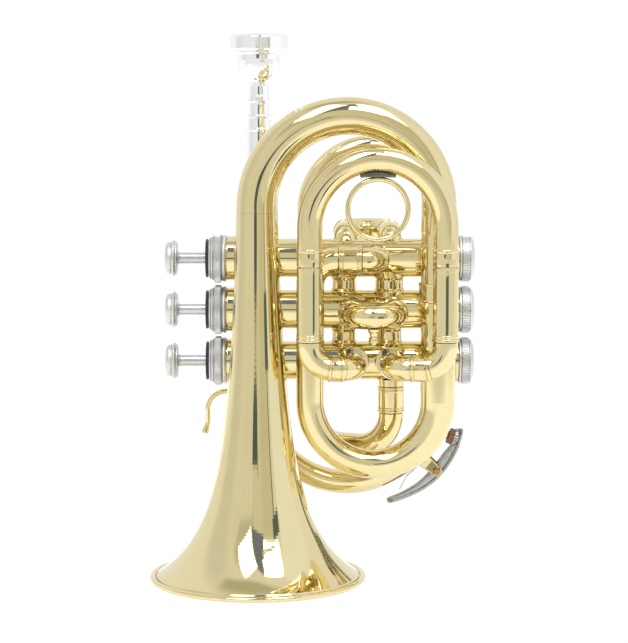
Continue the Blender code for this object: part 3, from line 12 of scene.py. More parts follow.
import bmesh
import bpy
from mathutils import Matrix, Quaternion, Vector


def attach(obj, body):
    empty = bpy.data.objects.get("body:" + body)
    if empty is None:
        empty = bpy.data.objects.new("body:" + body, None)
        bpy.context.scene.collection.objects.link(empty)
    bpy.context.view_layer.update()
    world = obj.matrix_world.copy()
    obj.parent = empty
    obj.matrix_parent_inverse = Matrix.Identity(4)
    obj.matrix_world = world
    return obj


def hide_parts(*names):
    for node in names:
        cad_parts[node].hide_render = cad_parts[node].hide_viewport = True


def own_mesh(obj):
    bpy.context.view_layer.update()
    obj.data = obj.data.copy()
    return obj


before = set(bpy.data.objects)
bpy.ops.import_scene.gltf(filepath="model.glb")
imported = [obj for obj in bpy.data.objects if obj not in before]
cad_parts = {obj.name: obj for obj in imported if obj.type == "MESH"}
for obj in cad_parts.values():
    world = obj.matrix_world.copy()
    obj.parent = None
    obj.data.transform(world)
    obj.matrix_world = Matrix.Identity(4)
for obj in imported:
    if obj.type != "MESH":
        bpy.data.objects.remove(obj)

LOG = logging.getLogger("pocket_cornet")
MM = 0.001
SHIFT = Vector((0.25, 15.875, 0.0))      # from the maker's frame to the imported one
SEAT = 0.3                               # gap that the model leaves between seated pieces
FIT = 5.15                               # radius inside sleeves and of what is soldered in
LEG = FIT - SEAT                         # radius of what slides or seats in a sleeve
X, Y, Z = Vector((1, 0, 0)), Vector((0, 1, 0)), Vector((0, 0, 1))
Pair = tuple[float, float]
Triple = tuple[float, float, float]


class Signal:
    """A shader value: it wraps an output socket, and sums on it add their Math nodes."""

    def __init__(self, graph: "Graph", socket: bpy.types.NodeSocket) -> None:
        """Keep the graph and the socket that carries the value."""
        self.graph, self.socket = graph, socket

    def math(self, operation: str, *values: object) -> "Signal":
        """Add one Math node.

        Args:
            operation: The Math node's operation.
            values: Its values, numbers or signals.

        Returns:
            The node's result.
        """
        return self.graph.signal("ShaderNodeMath", 0, {"operation": operation},
                                 dict(enumerate(values)))

    def __add__(self, other: object) -> "Signal":
        """Sum."""
        return self.math("ADD", self, other)

    __radd__ = __add__

    def __rsub__(self, other: object) -> "Signal":
        """Difference from a number."""
        return self.math("SUBTRACT", other, self)

    def __mul__(self, other: object) -> "Signal":
        """Product."""
        return self.math("MULTIPLY", self, other)

    __rmul__ = __mul__

    def between(self, low: float, high: float) -> "Signal":
        """Rise smoothly from 0 at low to 1 at high.

        Args:
            low: The value that gives 0.
            high: The value that gives 1.

        Returns:
            The eased value.
        """
        return self.graph.signal(
            "ShaderNodeMapRange", "Result", {"interpolation_type": "SMOOTHSTEP"},
            {"Value": self, "From Min": low, "From Max": high})


class Graph:
    """A node tree that is filled through one method."""

    def __init__(self, owner: bpy.types.ID) -> None:
        """Start from an empty tree.

        Args:
            owner: The material or the world that has the tree.
        """
        owner.use_nodes = True
        self.tree = owner.node_tree
        self.tree.nodes.clear()

    def node(self, kind: str, settings: Mapping[str, object] | None = None,
             inputs: Mapping[object, object] | None = None) -> bpy.types.Node:
        """Add a node.

        Args:
            kind: The node's type.
            settings: Its own settings, set first.
            inputs: Numbers, colours or signals for its sockets.

        Returns:
            The node.
        """
        node = self.tree.nodes.new(kind)
        for name, value in (settings or {}).items():
            setattr(node, name, value)
        for name, value in (inputs or {}).items():
            if isinstance(value, Signal):
                self.tree.links.new(value.socket, node.inputs[name])
            else:
                node.inputs[name].default_value = value
        return node

    def signal(self, kind: str, output: object = 0,
               settings: Mapping[str, object] | None = None,
               inputs: Mapping[object, object] | None = None) -> Signal:
        """Add a node and take one of its outputs.

        Args:
            kind: The node's type.
            output: The output's name or number.
            settings: As for node.
            inputs: As for node.

        Returns:
            The output.
        """
        return Signal(self, self.node(kind, settings, inputs).outputs[output])

    def bump(self, strength: float, distance: float, height: Signal) -> Signal:
        """Bend the surface's normal by a height, with the distance in metres."""
        return self.signal("ShaderNodeBump", 0, None, {
            "Strength": strength, "Distance": distance, "Height": height})

    def close(self, kind: str, inputs: Mapping[object, object], owner: str = "Material") -> None:
        """Add the last shader and join it to the output.

        Args:
            kind: The shader's type.
            inputs: As for node.
            owner: What the tree belongs to, a material or the world.
        """
        self.node("ShaderNodeOutput" + owner, None,
                  {"Surface": self.signal(kind, 0, None, inputs)})

    def axes(self, place: Signal, *numbers: int) -> list[Signal]:
        """Take some of a vector's three parts."""
        parts = self.node("ShaderNodeSeparateXYZ", None, {"Vector": place})
        return [Signal(self, parts.outputs[number]) for number in numbers]

    def mix(self, share: object, first: object, second: object) -> Signal:
        """Mix two colours.

        Args:
            share: How much of the second colour there is.
            first: A colour or a signal.
            second: A colour or a signal.

        Returns:
            The mixed colour.
        """
        values = {0: share, 6: self._colour(first), 7: self._colour(second)}
        return self.signal("ShaderNodeMix", 2, {"data_type": "RGBA"}, values)

    @staticmethod
    def _colour(value: object) -> object:
        """Give a plain colour its fourth number."""
        return value if isinstance(value, Signal) or len(value) == 4 else (*value, 1)

    def noise(self, place: Signal, scale: float, detail: float = 2.0,
              stretch: Triple = (1, 1, 1)) -> Signal:
        """Add a noise texture.

        Args:
            place: The coordinates.
            scale: Its scale.
            detail: Its detail.
            stretch: How many times finer it is along each axis.

        Returns:
            The noise, from 0 to 1.
        """
        if stretch != (1, 1, 1):
            place = self.signal("ShaderNodeMapping", 0, None, {"Vector": place, "Scale": stretch})
        return self.signal("ShaderNodeTexNoise", 0, None,
                           {"Vector": place, "Scale": scale, "Detail": detail})


class Metal(Enum):
    """Which way a metal's fine marks run."""

    POLISHED = (1.0, 1.0, 1.0)
    TURNED_ABOUT_X = (30.0, 1.0, 1.0)
    DRAWN_ALONG_X = (0.06, 6.0, 6.0)


@dataclass(frozen=True)
class MetalFinish:
    """A plated, lacquered or bare metal."""

    name: str
    pale: Triple
    deep: Triple
    # colour towards which creases and hollows are darkened: painted shade
    painted_crease_shade: Triple
    gloss: Pair
    marks: Metal = Metal.POLISHED
    mark_scale: float = 900.0
    relief: float = 0.02
    lacquer: float = 0.0

    def material(self) -> bpy.types.Material:
        """Build the metal's material: drifting colour, painted shade in creases and hollows, and
        fine marks.

        Returns:
            The material.
        """
        material = bpy.data.materials.new(self.name)
        graph = Graph(material)
        place = graph.signal("ShaderNodeTexCoord", "Object")
        drift = graph.noise(place, 26, 2).between(0.32, 0.68)
        cloud = graph.noise(place, 140, 3).between(0.30, 0.75)
        marks = graph.noise(place, self.mark_scale, 3, self.marks.value)
        # Pointiness finds creases and hollows, which are darkened towards the painted-shade colour
        # and made rougher: painted shade.
        bend = graph.signal("ShaderNodeNewGeometry", "Pointiness")
        shade_in_creases = 1 - bend.between(0.40, 0.485)
        colour = graph.mix(drift * 0.7 + cloud * 0.3, self.pale, self.deep)
        colour = graph.mix(shade_in_creases * 0.75, colour, self.painted_crease_shade)
        low, high = self.gloss
        roughness = marks * (high - low) + low + shade_in_creases * 0.10
        graph.close("ShaderNodeBsdfPrincipled", {
            "Base Color": colour, "Metallic": 1.0, "Roughness": roughness,
            "Normal": graph.bump(self.relief, 0.00005, marks),
            "Coat Weight": self.lacquer, "Coat Roughness": 0.02, "Coat IOR": 1.5})
        return material


@dataclass(frozen=True)
class CorkFinish:
    """Red-brown cork with pores and darker grains."""

    name: str = "cork_disc"
    light: Triple = (0.42, 0.19, 0.11)
    dark: Triple = (0.16, 0.06, 0.035)

    def material(self) -> bpy.types.Material:
        """Build the cork's material.

        Returns:
            The material.
        """
        material = bpy.data.materials.new(self.name)
        graph = Graph(material)
        place = graph.signal("ShaderNodeTexCoord", "Object")
        grains = graph.signal("ShaderNodeTexVoronoi", "Distance", None,
                              {"Vector": place, "Scale": 1500.0})
        grit = graph.noise(place, 2600, 4)
        share = grains.between(0.1, 0.75) * 0.55 + grit.between(0.35, 0.7) * 0.45
        graph.close("ShaderNodeBsdfPrincipled", {
            "Base Color": graph.mix(share, self.light, self.dark),
            "Roughness": share * 0.15 + 0.72, "Normal": graph.bump(0.5, 0.0002, share)})
        return material


@dataclass(frozen=True)
class FeltFinish:
    """Pressed black felt with loose fibres."""

    name: str = "pressed_felt"
    light: Triple = (0.055, 0.055, 0.058)
    dark: Triple = (0.010, 0.010, 0.011)

    def material(self) -> bpy.types.Material:
        """Build the felt's material.

        Returns:
            The material.
        """
        material = bpy.data.materials.new(self.name)
        graph = Graph(material)
        place = graph.signal("ShaderNodeTexCoord", "Object")
        fibres = graph.noise(place, 2200, 5, (1.0, 0.4, 2.2))
        share = fibres.between(0.35, 0.7)
        graph.close("ShaderNodeBsdfPrincipled", {
            "Base Color": graph.mix(share, self.dark, self.light),
            "Roughness": 1 - share * 0.1, "Normal": graph.bump(0.6, 0.0002, fibres),
            "Sheen Weight": 0.35, "Sheen Roughness": 0.5})
        return material


class Finish(Enum):
    """The finishes of the cornet's pieces, with the record's slot that each one fills."""

    # The third colour of each metal is the painted shade in its creases and hollows.
    BRASS = ("lacquered_brass", MetalFinish(
        "lacquered_brass", (0.800, 0.690, 0.380), (0.770, 0.650, 0.340), (0.34, 0.20, 0.05),
        (0.035, 0.075), lacquer=0.35))
    GOLD_BRASS = ("gold_brass", MetalFinish(
        "gold_brass", (0.720, 0.600, 0.310), (0.650, 0.530, 0.250), (0.30, 0.17, 0.05),
        (0.06, 0.14), lacquer=0.3))
    SILVER = ("silver_plate", MetalFinish(
        "silver_plate", (0.975, 0.970, 0.958), (0.950, 0.945, 0.932), (0.45, 0.44, 0.42),
        (0.03, 0.09)))
    SATIN = ("silver_plate", MetalFinish(
        "satin_nickel", (0.725, 0.722, 0.715), (0.650, 0.647, 0.640), (0.15, 0.15, 0.15),
        (0.38, 0.50), Metal.TURNED_ABOUT_X, 260.0, 0.12))
    STEM = ("piston_alloy", MetalFinish(
        "brushed_stem", (0.640, 0.642, 0.650), (0.540, 0.542, 0.555), (0.22, 0.22, 0.22),
        (0.20, 0.36), Metal.DRAWN_ALONG_X, 900.0, 0.10))
    KEY_METAL = ("silver_plate", MetalFinish(
        "key_silver", (0.430, 0.430, 0.425), (0.240, 0.240, 0.240), (0.07, 0.07, 0.07),
        (0.16, 0.32), Metal.POLISHED, 420.0, 0.35))
    COPPER = ("gold_brass", MetalFinish(
        "copper_brown", (0.400, 0.255, 0.115), (0.300, 0.185, 0.080), (0.08, 0.045, 0.02),
        (0.18, 0.34), Metal.POLISHED, 700.0, 0.10))
    # A dark brass for the sunk panel of the key's ear: painted shade in the recess.
    RECESS_SHADE_BRASS = ("gold_brass", MetalFinish(
        "recess_shade_brass", (0.270, 0.235, 0.120), (0.180, 0.155, 0.075), (0.06, 0.05, 0.02),
        (0.14, 0.26), Metal.POLISHED, 700.0, 0.06))
    # A dark grey-brown metal, used for the finger ring's saddle.
    DARK_SADDLE = ("lacquered_brass", MetalFinish(
        "dark_saddle_metal", (0.200, 0.195, 0.170), (0.130, 0.128, 0.115), (0.05, 0.05, 0.04),
        (0.20, 0.34), Metal.POLISHED, 900.0, 0.08))
    SPRING = ("spring_steel", MetalFinish(
        "spring_steel", (0.560, 0.565, 0.580), (0.440, 0.445, 0.465), (0.16, 0.15, 0.14),
        (0.16, 0.32), Metal.POLISHED, 1400.0, 0.08))
    CORK = ("cork", CorkFinish())
    FELT = ("black_felt", FeltFinish())


@dataclass
class Form:
    """A surface in the making, in millimetres of the maker's frame."""

    points: list[Vector] = field(default_factory=list)
    faces: list[tuple[int, ...]] = field(default_factory=list)

    def join(self, *others: "Form") -> "Form":
        """Add other surfaces to this one.

        Args:
            others: The surfaces.

        Returns:
            This form.
        """
        for other in others:
            start = len(self.points)
            self.points += other.points
            self.faces += [tuple(index + start for index in face) for face in other.faces]
        return self

    def skin(self, rows: Sequence[Sequence[int]], ring: bool = False, lids: bool = False) -> None:
        """Lay faces between rows of points, leaving out the corners that fall together.

        Args:
            rows: The points' numbers, row by row.
            ring: Whether the last row meets the first.
            lids: Whether the first and last rows are closed by a face.
        """
        for upper, lower in list(zip(rows, rows[1:])) + ([(rows[-1], rows[0])] if ring else []):
            for i, j in zip(range(len(upper)), [*range(1, len(upper)), 0]):
                face = [upper[i], lower[i], lower[j], upper[j]]
                kept = [corner for k, corner in enumerate(face) if corner != face[k - 1]]
                if len(kept) > 2:
                    self.faces.append(tuple(kept))
        if lids:
            self.faces += [tuple(rows[0]), tuple(reversed(rows[-1]))]

    def mesh(self, name: str, crease: float = 34.0) -> bpy.types.Mesh:
        """Make the mesh, smooth except at creases.

        Args:
            name: The mesh's name.
            crease: The least angle of a crease, in degrees.

        Returns:
            The mesh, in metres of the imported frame.
        """
        mesh = bpy.data.meshes.new(name)
        mesh.from_pydata([(point + SHIFT) * MM for point in self.points], [], self.faces)
        shape = bmesh.new()
        shape.from_mesh(mesh)
        bmesh.ops.remove_doubles(shape, verts=shape.verts, dist=1e-7)
        bmesh.ops.recalc_face_normals(shape, faces=shape.faces)
        shape.to_mesh(mesh)
        shape.free()
        mesh.shade_smooth()
        mesh.set_sharp_from_angle(angle=radians(crease))
        return mesh


def eased(corners: Sequence[Sequence[float]], ring: bool = False, steps: int = 4) -> list[Pair]:
    """Round the corners of a profile.

    Args:
        corners: (radius, height) pairs, with a third number where the corner is rounded.
        ring: Whether the profile closes on itself.
        steps: How many faces each rounding has.

    Returns:
        The profile's points.
    """
    result: list[Pair] = []
    count = len(corners)
    for index, corner in enumerate(corners):
        here = Vector(corner[:2])
        ease = corner[2] if len(corner) > 2 else 0.0
        if not ease or (not ring and index in (0, count - 1)):
            result.append(tuple(here))
            continue
        back = Vector(corners[index - 1][:2]) - here
        ahead = Vector(corners[(index + 1) % count][:2]) - here
        turn = pi - back.angle(ahead)
        if turn < 0.02:
            result.append(tuple(here))
            continue
        tangent = min(ease * tan(turn / 2), 0.48 * back.length, 0.48 * ahead.length)
        radius = tangent / tan(turn / 2)
        centre = here + (back.normalized() + ahead.normalized()).normalized() * (
            radius / cos(turn / 2))
        first = here + back.normalized() * tangent - centre
        last = here + ahead.normalized() * tangent - centre
        for step in range(steps + 1):
            share = step / steps
            spoke = first.lerp(last, share)
            result.append(tuple(centre + spoke.normalized() * radius))
    return result


def mirrored(half: Sequence[Sequence[float]], length: float) -> list[Sequence[float]]:
    """Add the mirror image of one half of a profile.

    Args:
        half: The corners of the half, as for eased.
        length: The sum of the heights of a corner and its image.

    Returns:
        The corners of the whole profile.
    """
    return [*half, *((corner[0], length - corner[1], *corner[2:]) for corner in reversed(half))]


def read_off(knots: Sequence[Pair], place: float) -> float:
    """Read a value off a line of straight runs, level beyond its ends.

    Args:
        knots: The line's (place, value) pairs, in rising order.
        place: Where to read it.

    Returns:
        The value there.
    """
    if place <= knots[0][0]:
        return knots[0][1]
    for (start, first), (end, last) in zip(knots, knots[1:]):
        if place <= end:
            return first + (last - first) * (place - start) / max(end - start, 1e-9)
    return knots[-1][1]


def braced(profile: Sequence[Pair], ring: bool, margin: float = 0.14) -> list[Pair]:
    """Add points beside the ends of long runs, so that smooth shading leaves them straight.

    Args:
        profile: The profile.
        ring: Whether the profile closes on itself.
        margin: How far from each end the points are.

    Returns:
        The profile with the added points.
    """
    result: list[Pair] = []
    for index, point in enumerate(profile):
        result.append(point)
        if index + 1 == len(profile) and not ring:
            break
        first, last = Vector(point), Vector(profile[(index + 1) % len(profile)])
        length = (last - first).length
        if length > 5 * margin:
            result.append(tuple(first.lerp(last, margin / length)))
            result.append(tuple(last.lerp(first, margin / length)))
    return result


def turned(corners: Sequence[Sequence[float]], at: Sequence[float], axis: Vector,
           steps: int = 72, ring: bool = False,
           grip: Callable[[int, float], float] | None = None) -> Form:
    """Turn a profile about an axis.

    Args:
        corners: The profile's corners, as for eased.
        at: The place of height zero on the axis.
        axis: The axis's direction.
        steps: How many faces go round.
        ring: Whether the profile closes on itself.
        grip: What a knurl adds to the radius, from the step and the height.

    Returns:
        The turned surface.
    """
    form = Form()
    origin, along = Vector(at), axis.normalized()
    aside = Z if abs(along.z) < 0.9 else X
    aside = (aside - along * aside.dot(along)).normalized()
    third = along.cross(aside)
    spokes = [aside * cos(2 * pi * i / steps) + third * sin(2 * pi * i / steps)
              for i in range(steps)]
    rows: list[list[int]] = []
    for radius, height in braced(eased(corners, ring), ring):
        centre = origin + along * height
        start = len(form.points)
        if radius < 1e-6:
            form.points.append(centre)
            rows.append([start] * steps)
            continue
        for index, spoke in enumerate(spokes):
            extra = grip(index, height) if grip else 0.0
            form.points.append(centre + spoke * (radius + extra))
        rows.append(list(range(start, start + steps)))
    form.skin(rows, ring)
    return form


def route(corners: Sequence[Sequence[float]], bends: Sequence[float],
          arc_step: float = radians(3.5)) -> list[Vector]:
    """Follow straight runs between corners, each corner rounded to its bend.

    Args:
        corners: The corners of the tube's line.
        bends: The bend radius at each inner corner.
        arc_step: The turn from one point to the next.

    Returns:
        The line's points.
    """
    places = [Vector(corner) for corner in corners]
    points = [places[0]]
    for before, corner, after, bend in zip(places, places[1:], places[2:], bends):
        back, ahead = (before - corner).normalized(), (after - corner).normalized()
        turn = pi - back.angle(ahead)
        tangent = bend * tan(turn / 2)
        centre = corner + (back + ahead).normalized() * bend / cos(turn / 2)
        first = corner + back * tangent - centre
        last = corner + ahead * tangent - centre
        axis = first.cross(last).normalized()
        count = ceil(turn / arc_step)
        for index in range(count + 1):
            points.append(centre + Quaternion(axis, turn * index / count) @ first)
    points.append(places[-1])
    kept = [points[0]]
    for point in points[1:]:
        if (point - kept[-1]).length > 1e-3:
            kept.append(point)
    return kept


class Band(Enum):
    """How a band stands on a tube: (place in its width, share of its height) pairs."""

    SLEEVE = ((0.0, 0.0), (0.001, 0.8), (0.05, 1.0), (0.95, 1.0), (0.999, 0.8), (1.0, 0.0))
    RING = ((0.0, 0.0), (0.06, 0.45), (0.22, 0.85), (0.5, 1.0), (0.78, 0.85), (0.94, 0.45),
            (1.0, 0.0))
    LINE = ((0.0, 0.0), (0.3, -1.0), (0.7, -1.0), (1.0, 0.0))


Stripe = tuple[float, float, float, Band]  # a band's start, end, height and kind


@dataclass
class Tube:
    """A bent tube: its line, how thick it is along the way, and the bands on it."""

    corners: Sequence[Sequence[float]]
    bends: Sequence[float]
    sizes: Sequence[Pair]                  # (distance, radius), negative from the far end
    bands: Sequence[Stripe] = ()
    wall: float = 0.6
    sides: int = 44
    mouths: bool = True
    brace: float = 0.15                    # support points beside each change of size

    def form(self) -> Form:
        """Sweep the tube, with a point of its line wherever its size changes.

        Returns:
            Its surface, with a wall to be seen at each open mouth.
        """
        points = route(self.corners, self.bends)
        lengths = [0.0]
        for first, second in zip(points, points[1:]):
            lengths.append(lengths[-1] + (second - first).length)
        total = lengths[-1]
        sizes = sorted((s if s >= 0 else total + s, r) for s, r in self.sizes)
        bands = [(start if start >= 0 else total + start, end if end > 0 else total + end,
                  proud, band) for start, end, proud, band in self.bands]
        marks = [s + step for s, _ in sizes for step in (-self.brace, 0, self.brace)]
        for start, end, _, band in bands:
            marks += [start + (end - start) * share for share, _ in band.value]
            marks += [start - self.brace, end + self.brace]
        for distance in sorted({round(s, 4) for s in marks if 0 < s < total}):
            if min(abs(distance - s) for s in lengths) > 1e-3:
                index = next(i for i, s in enumerate(lengths) if s > distance)
                share = (distance - lengths[index - 1]) / (lengths[index] - lengths[index - 1])
                points.insert(index, points[index - 1].lerp(points[index], share))
                lengths.insert(index, distance)
        radii = [read_off(sizes, s) + sum(
            proud * read_off(band.value, (s - start) / (end - start))
            for start, end, proud, band in bands) for s in lengths]
        return swept(points, radii, self.sides, self.wall if self.mouths else 0.0)


def slide_bow(corners: Sequence[Sequence[float]], inner: float, bore: float, tube: float,
              bands: Sequence[Stripe] = (), wall: float = 0.6, sides: int = 44) -> Form:
    """Sweep a slide: a bow between two thinner legs.

    Args:
        corners: The four corners of its line.
        inner: The length of each thinner leg.
        bore: The radius of the thinner legs.
        tube: The radius of the bow.
        bands: The bands on its first half, which the other half repeats.
        wall: Its wall's thickness.
        sides: How many faces go round.

    Returns:
        The slide's surface.
    """
    bend, taper = (corners[2][0] - corners[1][0]) / 2, 0.3
    sizes = [(0, bore), (inner, bore), (inner + taper, tube), (-inner - taper, tube),
             (-inner, bore)]
    both = [*bands, *((-end, -start, proud, band) for start, end, proud, band in bands)]
    return Tube(corners, [bend, bend], sizes, both, wall, sides).form()


def swept(points: Sequence[Vector], radii: Sequence[float], sides: int = 32,
          wall: float = 0.0, closed: bool = False) -> Form:
    """Sweep a circle along a line.

    Args:
        points: The line.
        radii: The radius at each point.
        sides: How many faces go round.
        wall: The wall's thickness at the open ends, or 0 for flat ends.
        closed: Whether the line closes on itself.

    Returns:
        The surface.
    """
    form = Form()
    count = len(points)
    if closed:
        tangents = [(points[(i + 1) % count] - points[i - 1]).normalized() for i in range(count)]
    else:
        tangents = [(points[min(i + 1, count - 1)] - points[max(i - 1, 0)]).normalized()
                    for i in range(count)]
    normal = tangents[0].orthogonal().normalized()
    normals = [normal]
    for before, after in zip(tangents, tangents[1:]):
        normal = before.rotation_difference(after) @ normal
        normal = (normal - after * normal.dot(after)).normalized()
        normals.append(normal)
    twist = 0.0
    if closed:
        back = tangents[-1].rotation_difference(tangents[0]) @ normals[-1]
        twist = back.angle(normals[0])
        if back.cross(normals[0]).dot(tangents[0]) < 0:
            twist = -twist

    def circle(index: int, radius: float, slide: float = 0.0) -> list[int]:
        """Add one circle of points.

        Args:
            index: Which point of the line it stands on.
            radius: Its radius.
            slide: How far it is moved along the line.

        Returns:
            The points' numbers.
        """
        tangent, side = tangents[index], normals[index]
        if twist:
            side = Quaternion(tangent, twist * index / count) @ side
        up = tangent.cross(side)
        start = len(form.points)
        for k in range(sides):
            angle = 2 * pi * k / sides
            form.points.append(points[index] + tangent * slide
                               + (side * cos(angle) + up * sin(angle)) * radius)
        return list(range(start, start + sides))

    rows = [circle(i, radius) for i, radius in enumerate(radii)]
    if wall and not closed:
        depth = 7.0
        rows = [circle(0, radii[0] - wall, depth), circle(0, radii[0] - wall)] + rows + [
            circle(count - 1, radii[-1] - wall), circle(count - 1, radii[-1] - wall, -depth)]
    form.skin(rows, closed, not closed)
    return form


def strap(points: Sequence[Vector], across: Vector, widths: Sequence[float],
          thicknesses: Sequence[float], ease: float = 0.28) -> Form:
    """Sweep a flat bar with rounded edges along a line.

    Args:
        points: The line, in one plane.
        across: The direction of the bar's width.
        widths: The bar's width at each point.
        thicknesses: Its thickness at each point.
        ease: The share of the thickness that rounds each edge.

    Returns:
        The surface.
    """
    form = Form()
    count = len(points)
    rows = []
    for index, point in enumerate(points):
        tangent = (points[min(index + 1, count - 1)] - points[max(index - 1, 0)]).normalized()
        out = tangent.cross(across).normalized()
        half, thick = widths[index] / 2, thicknesses[index] / 2
        edge = min(2 * ease * thick, 0.9 * half)
        section = []
        for sx, sz, start in ((1, 1, 0), (-1, 1, 90), (-1, -1, 180), (1, -1, 270)):
            for step in range(4):
                angle = radians(start + step * 30)
                section.append((sx * (half - edge) + edge * cos(angle),
                                sz * (thick - edge) + edge * sin(angle)))
        start = len(form.points)
        form.points += [point + across * a + out * b for a, b in section]
        rows.append(list(range(start, start + len(section))))
    form.skin(rows, lids=True)
    return form


@dataclass
class Bench:
    """Where pieces are finished: each gets its object, body and finish, and the CAD node it stands
    for is hidden.
    """

    materials: dict[Finish, bpy.types.Material] = field(default_factory=dict)

    def material(self, finish: Finish) -> bpy.types.Material:
        """Give a finish's material, made once.

        Args:
            finish: The finish.

        Returns:
            Its material.
        """
        if finish not in self.materials:
            self.materials[finish] = finish.value[1].material()
        return self.materials[finish]

    def piece(self, name: str, form: Form, node: str = "", body: str = "body",
              finish: Finish = Finish.BRASS, crease: float = 34.0) -> bpy.types.Object:
        """Finish one piece.

        Args:
            name: The piece's name.
            form: Its surface.
            node: The CAD node that it stands for, if it does.
            body: The body that it rides on.
            finish: Its finish.
            crease: The least angle of a crease, in degrees.

        Returns:
            The piece.
        """
        obj = bpy.data.objects.new(name, form.mesh(name, crease))
        bpy.context.scene.collection.objects.link(obj)
        obj.data.materials.append(self.material(finish))
        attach(obj, body)
        if node:
            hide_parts(node)
        LOG.info("%s: %d points, on %s", name, len(obj.data.vertices), body)
        return obj


@dataclass
class BellSection:
    """The bell, its bows and the run across to the first valve."""

    x: float = -25.6
    y: float = -24.0
    rim_radius: float = 49.9
    bead: float = 1.42
    wall: float = 0.6
    throat: float = 4.68
    flare_length: float = 32.4
    flare_power: float = 1.225
    stem_top: float = 169.0
    bow_radius: float = 41.3
    bow_centre_z: float = 171.4
    bow_top_tube: float = 8.6
    leg_tube: float = 8.02
    bow_end_z: float = 129.0
    lower_radius: float = 29.2
    lower_centre_z: float = 82.7
    lower_tube: float = 6.55
    left_leg_tube: float = 6.37
    entry_z: float = 147.3
    entry_tube: float = 5.75
    entry_bend: float = 11.2
    entry_joint_x: float = 16.8
    entry_joint: float = 5.2               # how far each tube reaches into the ferrule
    socket_tube: float = 8.92
    entry_port_x: float = 29.3
    entry_port_bend: float = 6.2
    brace_z: float = 165.0
    brace_sink: float = 0.05               # how far the brace runs into the leadpipe

    @property
    def leg_x(self) -> float:
        """Where the right leg stands."""
        return self.x + 2 * self.bow_radius

    @property
    def left_leg_x(self) -> float:
        """Where the left leg stands."""
        return self.leg_x - 2 * self.lower_radius

    def flare(self, z: float) -> float:
        """Work out the bell's outer radius at a height.

        Args:
            z: The height.

        Returns:
            The radius.
        """
        rise = max(z - 1.3, 0) / self.flare_length
        mouth = self.rim_radius - 1.2
        return self.throat + (mouth - self.throat) * (1 + rise) ** -self.flare_power

    def bell(self) -> Form:
        """Turn the bell, with the rolled bead and the groove inside it.

        Returns:
            The bell.
        """
        rows = 90
        outer = []
        for index in range(rows + 1):
            share = (1 - index / rows) ** 2.0
            z = 2.9 + (self.stem_top - 2.9) * share
            outer.append((self.flare(z), z))
        centre, tall = self.rim_radius - self.bead, 1.3
        bead = [(46.62, 2.3), (46.7, 1.35), (46.85, 1.2), (47.0, 1.2)]
        for index in range(30):
            angle = radians(174 - index * 11.2)
            bead.append((centre + self.bead * cos(angle), 1.33 + tall * sin(angle)))
        inner = [(radius - self.wall, z) for radius, z in reversed(outer)]
        inner[0] = (outer[-1][0] - self.wall, 1.6)
        return turned(outer + bead + inner, (self.x, self.y, 0), Z, 160, ring=True)

    def build(self, bench: Bench) -> None:
        """Build and dress the whole section.

        Args:
            bench: Where the pieces are finished.
        """
        bench.piece("bell_flare", self.bell(), "bell", crease=40)
        top = self.bow_centre_z + self.bow_radius
        start = self.stem_top + 0.05
        half = pi * self.bow_radius / 2
        rise = self.bow_centre_z - start
        arch = Tube(
            [(self.x, self.y, start), (self.x, self.y, top), (self.leg_x, self.y, top),
             (self.leg_x, self.y, self.bow_end_z)],
            [self.bow_radius, self.bow_radius],
            [(0, self.flare(self.stem_top)), (rise + half, self.bow_top_tube),
             (rise + 2 * half, self.leg_tube)], sides=56)
        bench.piece("top_arch", arch.form(), "bell_bow")
        socket_top = self.bow_end_z + 8.0
        bottom = self.lower_centre_z - self.lower_radius
        leg = socket_top - self.lower_centre_z
        half = pi * self.lower_radius / 2
        across = self.entry_joint_x - self.left_leg_x - self.entry_bend
        lower = Tube(
            [(self.leg_x, self.y, socket_top), (self.leg_x, self.y, bottom),
             (self.left_leg_x, self.y, bottom), (self.left_leg_x, self.y, self.entry_z),
             (self.entry_joint_x, self.y, self.entry_z)],
            [self.lower_radius, self.lower_radius, self.entry_bend],
            [(0, self.socket_tube), (8.3, self.socket_tube), (8.9, self.leg_tube),
             (leg, self.leg_tube), (leg + half, self.lower_tube),
             (leg + 2 * half, self.left_leg_tube), (-across - 12, self.left_leg_tube),
             (-self.entry_joint - 0.5, self.entry_tube), (-self.entry_joint, FIT),
             (-0.001, FIT)],
            [(0.0, 1.3, 0.28, Band.RING), (7.2, 8.4, 0.22, Band.RING)], sides=52)
        bench.piece("lower_bow", lower.form(), "bell_lower_bow")
        knuckle = Tube(
            [(self.entry_joint_x, self.y, self.entry_z),
             (self.entry_port_x, self.y, self.entry_z), (self.entry_port_x, -8.6, self.entry_z)],
            [self.entry_port_bend],
            [(0, FIT), (self.entry_joint, FIT), (self.entry_joint + 0.4, self.entry_tube)],
            mouths=False)
        seam = solder_seam(self.entry_port_x, -Y, self.entry_tube, ValveCluster.z(1),
                           self.entry_z - ValveCluster.z(1))
        bench.piece("entry_knuckle", knuckle.form().join(seam), "valve_entry_knuckle")
        bench.piece("entry_sleeve", ferrule(
            (self.entry_joint_x - self.entry_joint, self.y, self.entry_z), X,
            2 * self.entry_joint), "entry_ferrule")
        front = self.y + self.flare(self.brace_z)
        length = LeadSection.y - LeadSection.tube + self.brace_sink - front
        post = turned(mirrored([
            (0, 0), (3.4, 0), (3.4, 0.7, 0.3), (2.5, 1.3, 0.5), (1.8, 2.1, 0.6),
            (1.8, length / 2 - 1.6, 0.3), (2.3, length / 2 - 0.6, 0.5)], length),
            (self.x, front, self.brace_z), Y, 40)
        bench.piece("stem_brace", post, "bell_brace")


